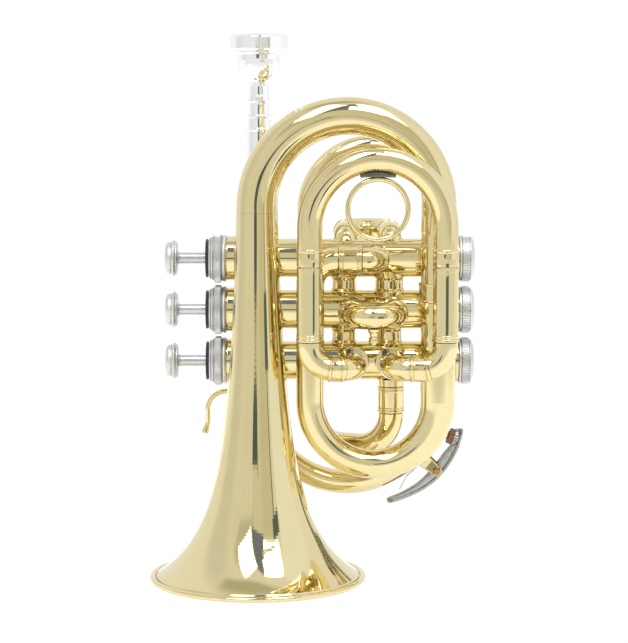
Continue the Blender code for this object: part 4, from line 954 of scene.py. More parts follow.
def ferrule(at: Sequence[float], axis: Vector, length: float) -> Form:
    """Turn a soldered sleeve with two rings at each end.

    Args:
        at: The middle of its first end.
        axis: Its direction.
        length: Its length.

    Returns:
        The sleeve.
    """
    half = [(FIT, 0), (6.1, 0, 0.15), (6.42, 0.25, 0.2), (6.42, 0.75, 0.2), (6.12, 1.0, 0.1),
            (6.12, 1.35, 0.1), (6.40, 1.6, 0.2), (6.40, 2.0, 0.2), (6.15, 2.3, 0.1)]
    return turned(mirrored(half, length), at, axis, 56, ring=True)


def solder_seam(port_x: float, direction: Vector, tube: float, valve_z: float,
                off_axis: float = 0.0, wire: float = 0.42, steps: int = 72) -> Form:
    """Sweep the fillet where a tube meets a valve casing.

    Args:
        port_x: Where the port stands along the casing.
        direction: The way that the port faces.
        tube: The tube's radius.
        valve_z: The height of the casing's axis.
        off_axis: How far the tube's line passes above the casing's axis.
        wire: The fillet's radius.
        steps: How many points go round.

    Returns:
        The fillet.
    """
    across = X.cross(direction)
    lift, reach = Z.dot(across) * off_axis, tube + 0.05
    points = []
    for index in range(steps):
        angle = 2 * pi * index / steps
        side = reach * sin(angle) + lift
        depth = sqrt(max(ValveCluster.casing_radius ** 2 - side ** 2, 4.0))
        points.append(Vector((port_x, 0, valve_z)) + X * reach * cos(angle)
                      + across * side + direction * depth)
    return swept(points, [wire] * steps, 10, closed=True)


@dataclass
class ValveCluster:
    """The three valves: casings, caps, felts, buttons, pistons, springs and knuckles."""

    left: float = -40.5
    right: float = 67.4
    bore: float = 8.4
    piston_left: float = -6.0
    piston_length: float = 52.0
    cap_left: float = -48.6
    button_right: float = -63.1
    spring_radius: float = 5.8
    spring_wire: float = 0.45
    casing_radius = 9.1

    @staticmethod
    def z(number: int) -> float:
        """Height of a valve's axis."""
        return 98.5 + (3 - number) * 24.0

    def casing(self, number: int) -> Form:
        """Turn a casing, with its collar, its foot and their lines.

        Args:
            number: The valve's number.

        Returns:
            The casing.
        """
        length = self.right - self.left
        radius = self.casing_radius
        corners = [
            (radius - 0.1, -4.3, 0.1), (self.bore, -4.3), (self.bore, length + 4.3),
            (radius - 0.1, length + 4.3, 0.1), (radius - 0.1, length),
            (9.9, length, 0.25), (9.9, length - 1.2, 0.1), (9.7, length - 1.4),
            (9.7, length - 1.7), (9.9, length - 1.9, 0.1), (9.9, length - 4.8, 0.5),
            (radius, length - 5.6, 0.4), (radius, 8.1, 0.5), (10.2, 6.6, 0.5),
            (10.2, 4.7, 0.15), (9.95, 4.5), (9.95, 4.2), (10.3, 4.0, 0.15), (10.3, 0.35, 0.3),
            (radius - 0.1, 0.35)]
        return turned(corners, (self.left, 0, self.z(number)), X, 84, ring=True)

    def top_cap(self, number: int) -> Form:
        """Turn a top cap: grooved crown, knurled band, groove and bulging skirt.

        Args:
            number: The valve's number.

        Returns:
            The cap.
        """
        corners = [
            (3.0, 0), (9.0, 0, 0.2), (9.5, 0.3, 0.2), (9.75, 0.75, 0.1), (9.4, 0.95),
            (9.45, 1.1), (10.0, 1.3, 0.1), (10.3, 1.9, 0.1), (9.95, 2.1), (10.0, 2.25),
            (10.75, 2.5, 0.15), (11.0, 2.7), (10.85, 2.85), (11.1, 3.0), (11.1, 5.5),
            (10.85, 5.65), (11.0, 5.8), (10.75, 6.0, 0.1), (10.3, 6.1), (10.3, 6.35),
            (10.75, 6.6, 0.3), (10.95, 7.3, 0.6), (10.6, 8.1, 0.3), (9.4, 8.1), (9.4, 1.8),
            (3.0, 1.8)]
        return turned(corners, (self.cap_left, 0, self.z(number)), X, 264, True,
                      lambda step, height: 0.28 * (step % 2) if 2.95 < height < 5.55 else 0.0)

    def bottom_cap(self, number: int) -> Form:
        """Turn a bottom cap: a knurled band between two grooves, and a rounded end.

        Args:
            number: The valve's number.

        Returns:
            The cap.
        """
        corners = [(0, 7.3), (3.0, 7.26), (5.5, 7.12), (7.6, 6.9, 1.2), (9.3, 6.3, 0.9),
                   (10.15, 5.6, 0.6), (10.35, 5.1, 0.1), (10.1, 4.95), (10.1, 4.8),
                   (10.55, 4.65), (10.55, 1.45), (10.1, 1.3), (10.1, 1.15), (10.5, 1.0, 0.1),
                   (10.55, 0.3, 0.2), (10.2, 0.0, 0.2), (9.4, 0.0), (9.4, 5.5), (0, 5.5)]
        return turned(corners, (self.right + SEAT, 0, self.z(number)), X, 320,
                      grip=lambda step, height: 0.3 * (step // 2 % 2) if 1.4 < height < 4.7
                      else 0.0)

    def felt(self, number: int) -> Form:
        """Turn a felt disc with soft edges."""
        corners = [(3.0, 0), (8.9, 0, 0.45), (8.95, 0.55), (8.9, 1.1, 0.45), (3.0, 1.1)]
        return turned(corners, (self.cap_left - SEAT - 1.1, 0, self.z(number)), X, 64, ring=True)

    def button(self, number: int) -> Form:
        """Turn a finger button: base, sharp bead, waist and domed top with its centre mark.

        Args:
            number: The valve's number.

        Returns:
            The button.
        """
        corners = [
            (0, 3.1), (1.8, 3.1), (1.8, 0), (5.2, 0, 0.2), (6.9, 0.1, 0.3), (7.5, 0.4, 0.2),
            (7.55, 0.8), (8.0, 1.1, 0.1), (8.5, 1.75, 0.15), (8.5, 1.95, 0.15), (7.6, 2.75, 0.1),
            (7.35, 2.95), (7.35, 3.1), (7.55, 3.3, 0.1), (7.4, 4.3, 0.6), (6.7, 5.3, 0.3),
            (6.5, 5.3), (6.3, 5.42), (5.6, 5.7, 0.3), (3.2, 5.95), (3.0, 5.85), (2.8, 5.96),
            (1.1, 6.0), (0.9, 5.75), (0, 5.7)]
        return turned(corners, (self.button_right, 0, self.z(number)), -X, 72)

    def piston(self, number: int) -> Form:
        """Turn a piston with its stem, stop collar and ends.

        Args:
            number: The valve's number.

        Returns:
            The piston.
        """
        left = self.piston_left - self.button_right
        right = left + self.piston_length
        stop = self.cap_left + 1.8 + SEAT - self.button_right
        corners = [
            (0, right), (6.6, right, 0.2), (6.9, right - 0.5), (7.5, right - 0.5, 0.1),
            (8.1, right - 1.1, 0.2), (8.1, left + 0.8, 0.3), (7.4, left, 0.3), (4.4, left, 0.2),
            (3.6, left - 0.9, 0.3), (2.6, left - 1.6, 0.3), (2.6, stop + 1.8),
            (5.2, stop + 1.8, 0.2), (5.2, stop, 0.2), (2.6, stop), (2.6, 1.0, 0.1),
            (2.9, 0.85, 0.1), (2.9, 0.3, 0.1), (1.5, 0.3), (1.5, -2.7, 0.2), (0, -2.7)]
        return turned(corners, (self.button_right, 0, self.z(number)), X, 56)

    def spring(self, number: int) -> Form:
        """Wind a return spring, closed up at both ends.

        Args:
            number: The valve's number.

        Returns:
            The spring.
        """
        start = self.piston_left + self.piston_length + SEAT + self.spring_wire
        end = self.right + SEAT + 7.3 - 1.8 - SEAT - self.spring_wire
        turns, per_turn = 8, 28
        points = []
        for index in range(turns * per_turn + 1):
            share = index / (turns * per_turn)
            wound = share + 0.055 * sin(2 * pi * share)
            angle = 2 * pi * index / per_turn
            points.append(Vector((start + (end - start) * wound,
                                  self.spring_radius * cos(angle),
                                  self.z(number) + self.spring_radius * sin(angle))))
        return swept(points, [self.spring_wire] * len(points), 8)

    def knuckle(self, upper: int, x: float, radius: float) -> Form:
        """Build a tube that joins two casings, with a solder fillet at each end.

        Args:
            upper: The upper valve's number.
            x: Where the tube stands along the casings.
            radius: The tube's radius.

        Returns:
            The tube with its fillets.
        """
        low, high = self.z(upper + 1), self.z(upper)
        reach = sqrt(self.casing_radius ** 2 - radius ** 2) - 1.0
        half = [(radius, low + reach), (radius + 0.9, low + 8.6, 0.8), (radius, low + 10.0, 1.2)]
        tube = turned(mirrored(half, low + high), (x, 0, 0), Z, 56)
        return tube.join(solder_seam(x, Z, radius, low), solder_seam(x, -Z, radius, high))

    def build(self, bench: Bench) -> None:
        """Build and dress the valves.

        Args:
            bench: Where the pieces are finished.
        """
        for number in (1, 2, 3):
            body = f"valve_{number}"
            for name, shape, node, *looks in (
                    ("casing", self.casing, "valve_casing"),
                    ("grip_cap", self.top_cap, "top_cap", "body", Finish.SATIN, 28),
                    ("end_cap", self.bottom_cap, "bottom_cap", "body", Finish.SATIN, 28),
                    ("felt_disc", self.felt, "cap_felt", "body", Finish.FELT),
                    ("button", self.button, "finger_button", body, Finish.SATIN, 30),
                    ("stem_and_piston", self.piston, "piston", body, Finish.STEM)):
                bench.piece(f"{name}_{number}", shape(number), f"{node}_{number}", *looks)
            spring = bench.piece(f"return_spring_{number}", self.spring(number),
                                 f"valve_spring_{number}", finish=Finish.SPRING)
            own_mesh(spring)
        for upper, x, radius, node in (
                (1, 14.5, 5.5, "knuckle_1_2_left"), (1, 35.2, 6.6, "knuckle_1_2_right"),
                (2, 14.5, 5.5, "knuckle_2_3_left"), (2, 35.2, 5.8, "knuckle_2_3_right")):
            bench.piece(f"casing_{node}", self.knuckle(upper, x, radius), node)


@dataclass
class LeadSection:
    """Mouthpiece, receiver, leadpipe, its bow, the tuning slide, the inlet bow and the hook."""

    x: float = -25.5
    y: float = 19.0
    receiver_top: float = 212.9
    receiver_bottom: float = 160.0
    rise: float = 37.7
    tube: float = 5.7
    pipe_end_z: float = 92.0
    bow_radius: float = 41.45
    bow_centre_z: float = 79.2
    left_x: float = -1.8
    slide_tube: float = 5.75
    split_z: float = 153.0
    sleeve_bottom: float = 108.0
    slide_centre_z: float = 168.0
    slide_leg: float = 39.0
    inlet_x: float = 36.2
    inlet_z: float = 57.0
    inlet_tube: float = 5.85

    @property
    def far_x(self) -> float:
        """Where the far right leg stands."""
        return self.x + 2 * self.bow_radius

    def mouthpiece(self) -> Form:
        """Turn the mouthpiece from its rim to the end of its shank, bored through.

        Returns:
            The mouthpiece.
        """
        top = self.rise
        rim = [(9.2, top - 1.3, 1.0), (10.6, top - 0.1, 1.2), (12.2, top, 1.5),
               (13.75, top - 1.3, 1.3), (13.75, top - 6.9, 0.35), (12.5, top - 7.75, 0.2),
               (11.5, top - 7.8, 0.1), (11.5, top - 8.9, 0.25), (10.6, top - 9.3, 0.15)]
        cup = []
        for index in range(15):
            share = index / 14
            swell = sqrt(max(1 - share ** 2.1, 0))
            cup.append((4.9 + 5.35 * swell, top - 9.6 - 12.9 * share))
        low = [(4.75, top - 24.5, 2.0), (4.75, top - 28.6, 0.3), (4.95, top - 28.9, 0.1),
               (5.6, top - 31.3, 0.15), (5.55, top - 31.7, 0.1), (4.9, top - 32.0, 0.1),
               (4.85, top - 33.0, 0.5), (4.75, 0), (4.1, -27, 0.15), (3.3, -27)]
        bore = [(1.9, top - 20.0, 2.0), (1.9, top - 14.0, 1.5)]
        inner = []
        for index in range(9):
            share = 1 - index / 8
            inner.append((2.3 + 6.3 * sqrt(max(1 - share ** 2, 0)), top - 1.8 - 10.6 * share))
        corners = rim + cup + low + bore + inner
        return turned(corners, (self.x, self.y, self.receiver_top), Z, 96, ring=True)

    def receiver(self) -> Form:
        """Turn the receiver: a collar with its beads over a long plain sleeve.

        Returns:
            The receiver.
        """
        height = self.receiver_top - self.receiver_bottom
        corners = [
            (5.0, height), (5.35, height, 0.2), (5.75, height - 0.5, 0.25),
            (5.75, height - 1.2, 0.25), (5.45, height - 1.6, 0.1), (5.45, height - 6.2, 0.1),
            (5.8, height - 6.6, 0.2), (5.8, height - 7.3, 0.2), (5.6, height - 7.8, 0.1),
            (5.65, 1.8, 0.1), (5.9, 1.5, 0.15), (5.9, 0.2, 0.2), (5.2, 0.0), (5.1, 0), (5.0, 23)]
        return turned(corners, (self.x, self.y, self.receiver_bottom), Z, 64, ring=True)

    def slide_sleeve(self, x: float) -> Form:
        """Turn a sleeve of the tuning slide, with a ferrule ring at each end.

        Args:
            x: Where it stands.

        Returns:
            The sleeve.
        """
        top = self.split_z - SEAT - self.sleeve_bottom
        outer = self.slide_tube
        corners = [
            (FIT, 0), (6.1, 0, 0.2), (6.2, 0.5, 0.2), (6.2, 1.2, 0.2), (outer, 1.6, 0.1),
            (outer, top - 1.6, 0.1), (6.2, top - 1.2, 0.2), (6.2, top - 0.3, 0.25),
            (6.0, top, 0.1), (FIT, top)]
        return turned(corners, (x, self.y, self.sleeve_bottom), Z, 56, ring=True)

    def build(self, bench: Bench) -> None:
        """Build and dress the section.

        Args:
            bench: Where the pieces are finished.
        """
        x, y, far = self.x, self.y, self.far_x
        bench.piece("mouthpiece_cup", self.mouthpiece(), "mouthpiece", "mouthpiece", Finish.SILVER)
        bench.piece("receiver", self.receiver(), "mouthpiece_receiver", finish=Finish.SILVER)
        pipe = Tube([(x, y, self.receiver_bottom + 4), (x, y, self.pipe_end_z)], [],
                    [(0, 4.8), (4.2, 4.8), (4.6, self.tube)])
        bench.piece("lead_pipe", pipe.form(), "leadpipe")
        low = self.bow_centre_z - self.bow_radius
        bow = Tube(
            [(x, y, self.pipe_end_z + 8), (x, y, low), (far, y, low),
             (far, y, self.sleeve_bottom + 4)],
            [self.bow_radius, self.bow_radius],
            [(0, 6.6), (8.3, 6.6), (8.8, self.tube), (-4.8, self.tube), (-4.3, LEG),
             (-0.001, LEG)],
            [(0.0, 1.2, 0.25, Band.RING), (7.0, 8.2, 0.2, Band.RING)], sides=48)
        bench.piece("lead_bow", bow.form(), "leadpipe_bow")
        for side, place in (("left", self.left_x), ("right", far)):
            bench.piece(f"tuning_tube_{side}", self.slide_sleeve(place), f"tuning_sleeve_{side}")
        end = self.slide_centre_z + (far - self.left_x) / 2
        leg = self.split_z - self.slide_leg
        crown = slide_bow(
            [(self.left_x, y, leg), (self.left_x, y, end), (far, y, end), (far, y, leg)],
            self.slide_leg, LEG, self.slide_tube,
            [(39.2, 40.6, 0.3, Band.RING), (50.5, 51.5, 0.22, Band.RING)])
        bench.piece("tuning_crown", crown, "tuning_slide_bow", "tuning_slide")
        inlet = Tube(
            [(self.left_x, y, self.sleeve_bottom + 4), (self.left_x, y, self.inlet_z),
             (self.inlet_x, 0, self.inlet_z), (self.inlet_x, 0, ValveCluster.z(3) - 8.6)],
            [16.5, 16.5],
            [(0, LEG), (4.3, LEG), (4.8, self.inlet_tube), (-16.1, self.inlet_tube),
             (-15.8, FIT), (-3.5, FIT), (-3.2, self.inlet_tube)],
            [(6.0, 7.0, 0.22, Band.RING)])
        seam = solder_seam(self.inlet_x, -Z, self.inlet_tube, ValveCluster.z(3))
        bench.piece("inlet_crook", inlet.form().join(seam), "inlet_bow")
        bench.piece("inlet_sleeve", ferrule((self.inlet_x, 0, 74.4), Z, 12.0), "inlet_ferrule")
        hook_z, hook_x = self.bow_centre_z + 2.3, -50.4
        hook = Tube(
            [(x - self.tube, y, hook_z), (hook_x, y, hook_z), (hook_x, y, hook_z - 15.2),
             (hook_x - 1.4, y, hook_z - 20.2)],
            [9.0, 4.0],
            [(0, 2.9), (0.5, 2.2), (1.1, 1.8), (2.6, 1.25), (-4.0, 1.25), (-1.0, 1.7),
             (-0.25, 1.7), (-0.001, 1.35)], sides=24, mouths=False)
        bench.piece("little_finger_hook", hook.form(), "finger_hook")


@dataclass
class ValveSlides:
    """The three valve slides, the finger ring and the pull knob."""

    first_z: float = 157.8
    first_ports: Pair = (15.2, 35.7)
    first_tube: float = 5.4
    second_ports: Pair = (17.6, 37.4)
    second_tube: float = 5.7
    second_front: float = -35.0
    third_y: float = -39.5
    third_z: float = 99.4
    third_ports: Pair = (18.4, 35.8)
    third_left: float = -1.6
    third_right: float = 59.4
    third_tube: float = 5.65
    third_split: float = 145.4
    third_leg: float = 29.0
    third_bottom: float = 111.8
    third_centre_z: float = 163.0
    ring_radius: float = 14.6
    ring_wire: float = 1.15
    ring_z: float = 171.26

    def first_slide(self, bench: Bench) -> None:
        """Build the first slide, on top of valve 1 and running back.

        Args:
            bench: Where the pieces are finished.
        """
        valve_z = ValveCluster.z(1)
        for side, x in zip(("left", "right"), self.first_ports):
            elbow = Tube([(x, 0, valve_z + 6), (x, 0, self.first_z), (x, 24.7, self.first_z)],
                         [8.0], [(0, self.first_tube)],
                         [(-1.4, -0.1, 0.3, Band.RING), (-8.2, -7.4, 0.2, Band.RING)], 0.5)
            seam = solder_seam(x, Z, self.first_tube, valve_z)
            bench.piece(f"first_elbow_{side}", elbow.form().join(seam),
                        f"first_slide_sleeve_{side}")
        left, right = self.first_ports
        back = 26.5 + (right - left) / 2
        bow = slide_bow([(left, 11.5, self.first_z), (left, back, self.first_z),
                         (right, back, self.first_z), (right, 11.5, self.first_z)],
                        13.5, 4.6, self.first_tube, wall=0.5)
        bench.piece("first_bow", bow, "first_slide_bow", "first_slide")

    def second_slide(self, bench: Bench) -> None:
        """Build the second slide, in front of valve 2, with its knob underneath.

        Args:
            bench: Where the pieces are finished.
        """
        z = ValveCluster.z(2)
        left, right = self.second_ports
        for side, x in zip(("left", "right"), self.second_ports):
            corners = [
                (5.1, 0), (5.75, 0, 0.2), (5.95, 0.4, 0.2), (5.95, 1.1, 0.2), (5.72, 1.4, 0.1),
                (6.1, 1.8, 0.1), (6.3, 2.2, 0.25), (6.3, 4.0, 0.25), (6.1, 4.4, 0.1),
                (5.7, 4.9, 0.2), (5.7, 12.2, 0.1), (5.7, 13.2), (5.1, 13.2)]
            sleeve = turned(corners, (x, -21.2, z), Y, 56, ring=True)
            seam = solder_seam(x, -Y, 5.75, z, wire=0.6)
            bench.piece(f"second_sleeve_{side}", sleeve.join(seam), f"second_slide_sleeve_{side}")
        bow = slide_bow([(left, -11.5, z), (left, self.second_front, z),
                         (right, self.second_front, z), (right, -11.5, z)],
                        10.0, 4.8, self.second_tube, [(10.2, 11.4, 0.3, Band.RING)])
        bench.piece("second_bow", bow, "second_slide_bow", "second_slide")
        corners = [
            (0, 0.6), (3.0, 0.5), (2.9, -0.5, 0.3), (2.15, -1.4, 0.6), (1.95, -2.6, 0.5),
            (2.1, -3.3, 0.1), (2.55, -3.6, 0.2), (2.55, -4.0, 0.2), (2.3, -4.25, 0.05),
            (2.3, -4.45, 0.05), (2.6, -4.7, 0.2), (2.6, -5.4, 0.4), (2.0, -6.3, 0.6),
            (0.9, -6.75, 0.5), (0, -6.8)]
        knob = turned(corners, ((left + right) / 2, self.second_front, z - 6.0), Z, 44)
        bench.piece("pull_knob", knob, "second_slide_knob", "second_slide")

    def third_slide(self, bench: Bench) -> None:
        """Build the third slide, in front of everything, with its finger ring.

        Args:
            bench: Where the pieces are finished.
        """
        y = self.third_y
        for side, port, x in (("left", self.third_ports[0], self.third_left),
                              ("right", self.third_ports[1], self.third_right)):
            elbow = Tube(
                [(port, -7.6, self.third_z), (port, y, self.third_z), (x, y, self.third_z),
                 (x, y, self.third_bottom + 4)], [8.2, 10.5],
                [(0, self.third_tube), (-4.35, self.third_tube), (-4.1, LEG), (-0.001, LEG)],
                self._elbow_bands(abs(x - port)), mouths=False)
            seam = solder_seam(port, -Y, self.third_tube, ValveCluster.z(3), 0.9, 0.5)
            flange = turned(mirrored([(5.7, 0), (7.0, 0, 0.2), (7.3, 0.4, 0.2)], 1.3),
                            (port, -14.6, self.third_z), Y, 56, ring=True)
            bench.piece(f"third_elbow_{side}", elbow.form().join(seam, flange),
                        f"third_slide_elbow_{side}")
            top = self.third_split - SEAT - self.third_bottom
            corners = [
                (FIT, 0), (5.95, 0, 0.2), (6.15, 0.45, 0.2), (6.15, 1.1, 0.2), (5.8, 1.45, 0.1),
                (5.8, 2.0, 0.1), (6.05, 2.3, 0.15), (6.05, 2.8, 0.15), (5.75, 3.1, 0.1),
                (5.75, top - 1.6, 0.1), (5.85, top - 1.5, 0.1), (5.85, top, 0.1), (FIT, top)]
            sleeve = turned(corners, (x, y, self.third_bottom), Z, 56, ring=True)
            bench.piece(f"third_sleeve_{side}", sleeve, f"third_slide_sleeve_{side}")
        end = self.third_centre_z + (self.third_right - self.third_left) / 2
        leg = self.third_split - self.third_leg
        bow = slide_bow(
            [(self.third_left, y, leg), (self.third_left, y, end), (self.third_right, y, end),
             (self.third_right, y, leg)], self.third_leg, LEG, self.third_tube,
            [(29.2, 35.3, 0.2, Band.SLEEVE), (35.3, 37.0, 0.42, Band.RING)], sides=48)
        bench.piece("third_bow", bow, "third_slide_bow", "third_slide")
        self.finger_ring(bench)

    @staticmethod
    def _elbow_bands(run: float) -> list[Stripe]:
        """Place the ferrule of an elbow, with a ring and a groove at each of its ends.

        Args:
            run: How far the elbow runs across.

        Returns:
            Its bands.
        """
        start, end = (36.4, 44.2) if run > 21 else (33.9, 39.6)
        return [(start - 0.5, start, 0.30, Band.LINE), (start, start + 1.1, 0.45, Band.RING),
                (start + 1.1, start + 1.5, 0.25, Band.LINE),
                (start + 1.5, end - 1.5, 0.16, Band.SLEEVE),
                (end - 1.5, end - 1.1, 0.25, Band.LINE), (end - 1.1, end, 0.45, Band.RING),
                (end, end + 0.5, 0.30, Band.LINE)]

    def finger_ring(self, bench: Bench) -> None:
        """Build the finger ring and the shallow saddle that joins it to the bow.

        Args:
            bench: Where the pieces are finished.
        """
        x, y = (self.third_left + self.third_right) / 2, self.third_y
        reach = self.ring_radius - self.ring_wire
        centre = Vector((x, y, self.ring_z))
        count = 128
        ring = swept([centre + Vector((sin(2 * pi * i / count), 0, cos(2 * pi * i / count))) * reach
                      for i in range(count)], [self.ring_wire] * count, 20, closed=True)
        crown = Vector((x, y, self.third_centre_z))
        steps, half_turn, bow_inside = 12, radians(19), 25.0
        shares = [i / steps - 1 for i in range(2 * steps + 1)]
        widths = [4.6 * sqrt(max(1 - share ** 4, 0.03)) for share in shares]
        thick = [1.3 + 1.0 * (1 - share ** 2) for share in shares]
        points = [crown + Vector((sin(half_turn * share), 0, cos(half_turn * share)))
                  * (bow_inside - deep / 2) for share, deep in zip(shares, thick)]
        bench.piece("finger_loop", ring, "finger_ring", "third_slide")
        bench.piece("loop_saddle", strap(points, Y, widths, thick), body="third_slide",
                    finish=Finish.DARK_SADDLE)

    def build(self, bench: Bench) -> None:
        """Build and dress the three slides.

        Args:
            bench: Where the pieces are finished.
        """
        self.first_slide(bench)
        self.second_slide(bench)
        self.third_slide(bench)


@dataclass
class WaterKey:
    """The water key on the leadpipe bow: nipple, cork, lever, saddle, pin and spring."""

    centre: Triple = (15.95, 19.0, 79.2)
    reach: float = 47.15
    nipple: float = -21.3
    pivot: float = -39.7
    pivot_height: float = 8.6
    cork_bottom: float = 5.0

    def at(self, angle: float, height: float, aside: float = 0.0) -> Vector:
        """Find a place over the bow.

        Args:
            angle: Its direction from the bow's centre, in degrees.
            height: Its height over the bow's tube.
            aside: How far it is along Y.

        Returns:
            The place.
        """
        turn = radians(angle)
        return Vector(self.centre) + Vector((cos(turn), 0, sin(turn))) * (
            self.reach + height) + Y * aside

    def outward(self, angle: float) -> Vector:
        """Give the direction away from the bow's centre."""
        return Vector((cos(radians(angle)), 0, sin(radians(angle))))

    def lever(self) -> Form:
        """Bend the lever: flange, web, ribs, a pad, the barrel and the cup for the cork.

        Returns:
            The lever.
        """
        knots = ((-16.2, 8.8, 10.7), (-18.0, 8.6, 11.1), (-22.0, 8.4, 11.5), (-26.5, 7.4, 11.8),
                 (-31.0, 6.5, 12.0), (-37.0, 6.4, 12.0), (-44.0, 6.5, 11.8), (-50.0, 6.7, 11.1),
                 (-56.0, 6.5, 10.2), (-62.0, 6.2, 9.3), (-67.0, 5.9, 8.6), (-69.0, 6.1, 8.1))
        flange, web, spans = [], [], []
        for index in range(73):
            angle = knots[0][0] + (knots[-1][0] - knots[0][0]) * index / 72
            low, high = (read_off([(-knot[0], knot[part]) for knot in knots], -angle)
                         for part in (1, 2))
            end = min((angle - knots[-1][0]) / 3.0, (knots[0][0] - angle) / 4.5 + 0.3, 1)
            full = sqrt(max(1 - (1 - end) ** 2, 0.06))
            flange.append(self.at(angle, high - 0.75))
            web.append(self.at(angle, (low + high - 0.9) / 2))
            spans.append((5.4 * full, 3.9 * full, high - 0.9 - low))
        form = strap(flange, Y, [span[0] for span in spans], [1.5] * len(spans), 0.4)
        form.join(strap(web, Y, [span[1] for span in spans], [span[2] for span in spans], 0.25))
        half = [(1.2, -2.8), (2.4, -2.8, 0.2), (2.4, -2.1, 0.2), (2.15, -1.9)]
        barrel = turned(mirrored(half, 0), self.at(self.pivot, self.pivot_height), Y, 36, ring=True)
        cup = turned([
            (0, 3.0), (3.9, 3.0), (3.9, 2.45), (4.2, 2.35, 0.1), (4.3, 2.5, 0.1), (4.3, 4.0, 0.2),
            (4.1, 4.3, 0.2), (3.2, 4.9, 0.6), (0, 5.2)], self.at(self.nipple, self.cork_bottom),
            self.outward(self.nipple), 96,
            grip=lambda step, height: 0.16 * (step // 3 % 2) if 2.45 < height < 4.2 else 0.0)
        ribs = [strap([self.at(angle, high, -2.72), self.at(angle, high, 2.72)],
                      self.outward(angle + 90), [0.55] * 2, [0.5] * 2, 0.45)
                for angle, high in [(-24.5 - 1.5 * i, 11.75) for i in range(13)]
                + [(-44.5 - 1.5 * i, 11.65 - 0.24 * i) for i in range(14)]]
        pad = [self.at(-29.8 + 1.9 * cos(pi * i / 16), 9.1 + 1.25 * sin(pi * i / 16), -1.9)
               for i in range(32)]
        edge = swept(pad, [0.28] * len(pad), 8, closed=True)
        return form.join(barrel, cup, edge, *ribs)

    def ear(self, shrink: float, near: float, far: float) -> Form:
        """Cut one ear's plate, or the dark sunk panel on it that carries painted shade.

        Args:
            shrink: How much smaller than the ear it is all round.
            near: Where its inner face lies, away from the viewer.
            far: Where its outer face lies.

        Returns:
            The plate.
        """
        centre = self.at(self.pivot, self.pivot_height)
        out, along = self.outward(self.pivot), self.outward(self.pivot + 90)
        nose, foot = 2.6 - shrink, 8.2 - 4.4 * shrink
        outline = [centre - out * foot + along * (3.1 - shrink)]
        outline += [centre + along * nose * cos(radians(a)) + out * nose * sin(radians(a))
                    for a in range(0, 181, 10)]
        outline += [centre - out * foot - along * (3.1 - shrink)]
        form = Form([point + Y * side for side in (near, far) for point in outline])
        form.skin([range(len(outline)), range(len(outline), 2 * len(outline))], lids=True)
        return form

    def saddle(self) -> Form:
        """Build the saddle: a curved base plate and two ears with raised rims.

        Returns:
            The saddle.
        """
        form = Form()
        base = [self.at(self.pivot + 4.1 * (i / 6 - 1), 0.75) for i in range(13)]
        form.join(strap(base, Y, [8.6] * 13, [1.5] * 13, 0.35))
        for side in (-1, 1):
            plate = self.ear(0.0, 3.1 * side, 4.05 * side)
            count = len(plate.points) // 2
            rim = [point - Y * side * 0.1 for point in plate.points[count:]]
            middle = sum(rim, Vector()) / count
            rim = [point + (middle - point).normalized() * 0.3 for point in rim]
            form.join(plate, swept(rim, [0.34] * count, 10, closed=True))
        centre = self.at(self.pivot, self.pivot_height, -4.15)
        ring = [centre + Vector((cos(2 * pi * i / 36), 0, sin(2 * pi * i / 36))) * 1.85
                for i in range(36)]
        return form.join(swept(ring, [0.24] * 36, 8, closed=True))

    def build(self, bench: Bench) -> None:
        """Build and dress the key.

        Args:
            bench: Where the pieces are finished.
        """
        out = self.outward(self.nipple)
        nipple = turned([
            (1.4, -0.6), (3.6, -0.6), (3.5, 0.5, 0.3), (2.6, 1.0, 0.5), (2.3, 3.6, 0.3),
            (2.16, 4.65, 0.2), (1.4, 4.65)], self.at(self.nipple, 0), out, 44, ring=True)
        bench.piece("drain_nipple", nipple, "water_key_nipple")
        cork = turned([
            (0, 0), (3.6, 0, 0.2), (3.8, 0.3, 0.2), (3.8, 2.9, 0.2), (0, 2.9)],
            self.at(self.nipple, self.cork_bottom), out, 44)
        bench.piece("cork_disc", cork, "water_key_cork", "water_key", Finish.CORK)
        bench.piece("key_lever", self.lever(), "water_key_lever", "water_key",
                    Finish.KEY_METAL, 30)
        bench.piece("key_saddle", self.saddle(), "water_key_saddle", finish=Finish.GOLD_BRASS)
        # The sunk panel is a dark plate that paints the shade inside the ear's recess.
        bench.piece("ear_panel_painted_shade", self.ear(0.75, -4.0, -4.1), finish=Finish.RECESS_SHADE_BRASS)
        middle = self.at(self.pivot, self.pivot_height)
        pin = turned([
            (0, -5.3), (1.2, -5.3), (1.5, -5.15, 0.2), (1.65, -4.8, 0.2), (1.65, -4.3),
            (0.9, -4.2), (0.9, 5.2, 0.2), (0, 5.3)], middle, Y, 36)
        slot = strap([middle + Vector((-0.9, -5.25, -0.9)), middle + Vector((0.9, -5.25, 0.9))],
                     Y, [0.22] * 2, [0.34] * 2)
        bench.piece("pivot_screw", pin.join(slot), "water_key_pin", finish=Finish.COPPER)
        shape = ((2.0, 1.9), (3.4, 1.0), (5.5, 0.75), (10, 0.75), (14, 1.1), (18, 2.9),
                 (21, 4.7))
        leaf = [self.at(self.pivot - turn, lift) for turn, lift in shape]
        spring = bench.piece("key_spring", strap(
            leaf, Y, [2.6, 2.6, 2.8, 2.8, 2.6, 2.2, 1.8], [0.45] * 7), "water_key_spring",
            finish=Finish.SPRING)
        tuple((self.at(self.pivot - 14, 0.7) + SHIFT) * MM)
        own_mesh(spring)


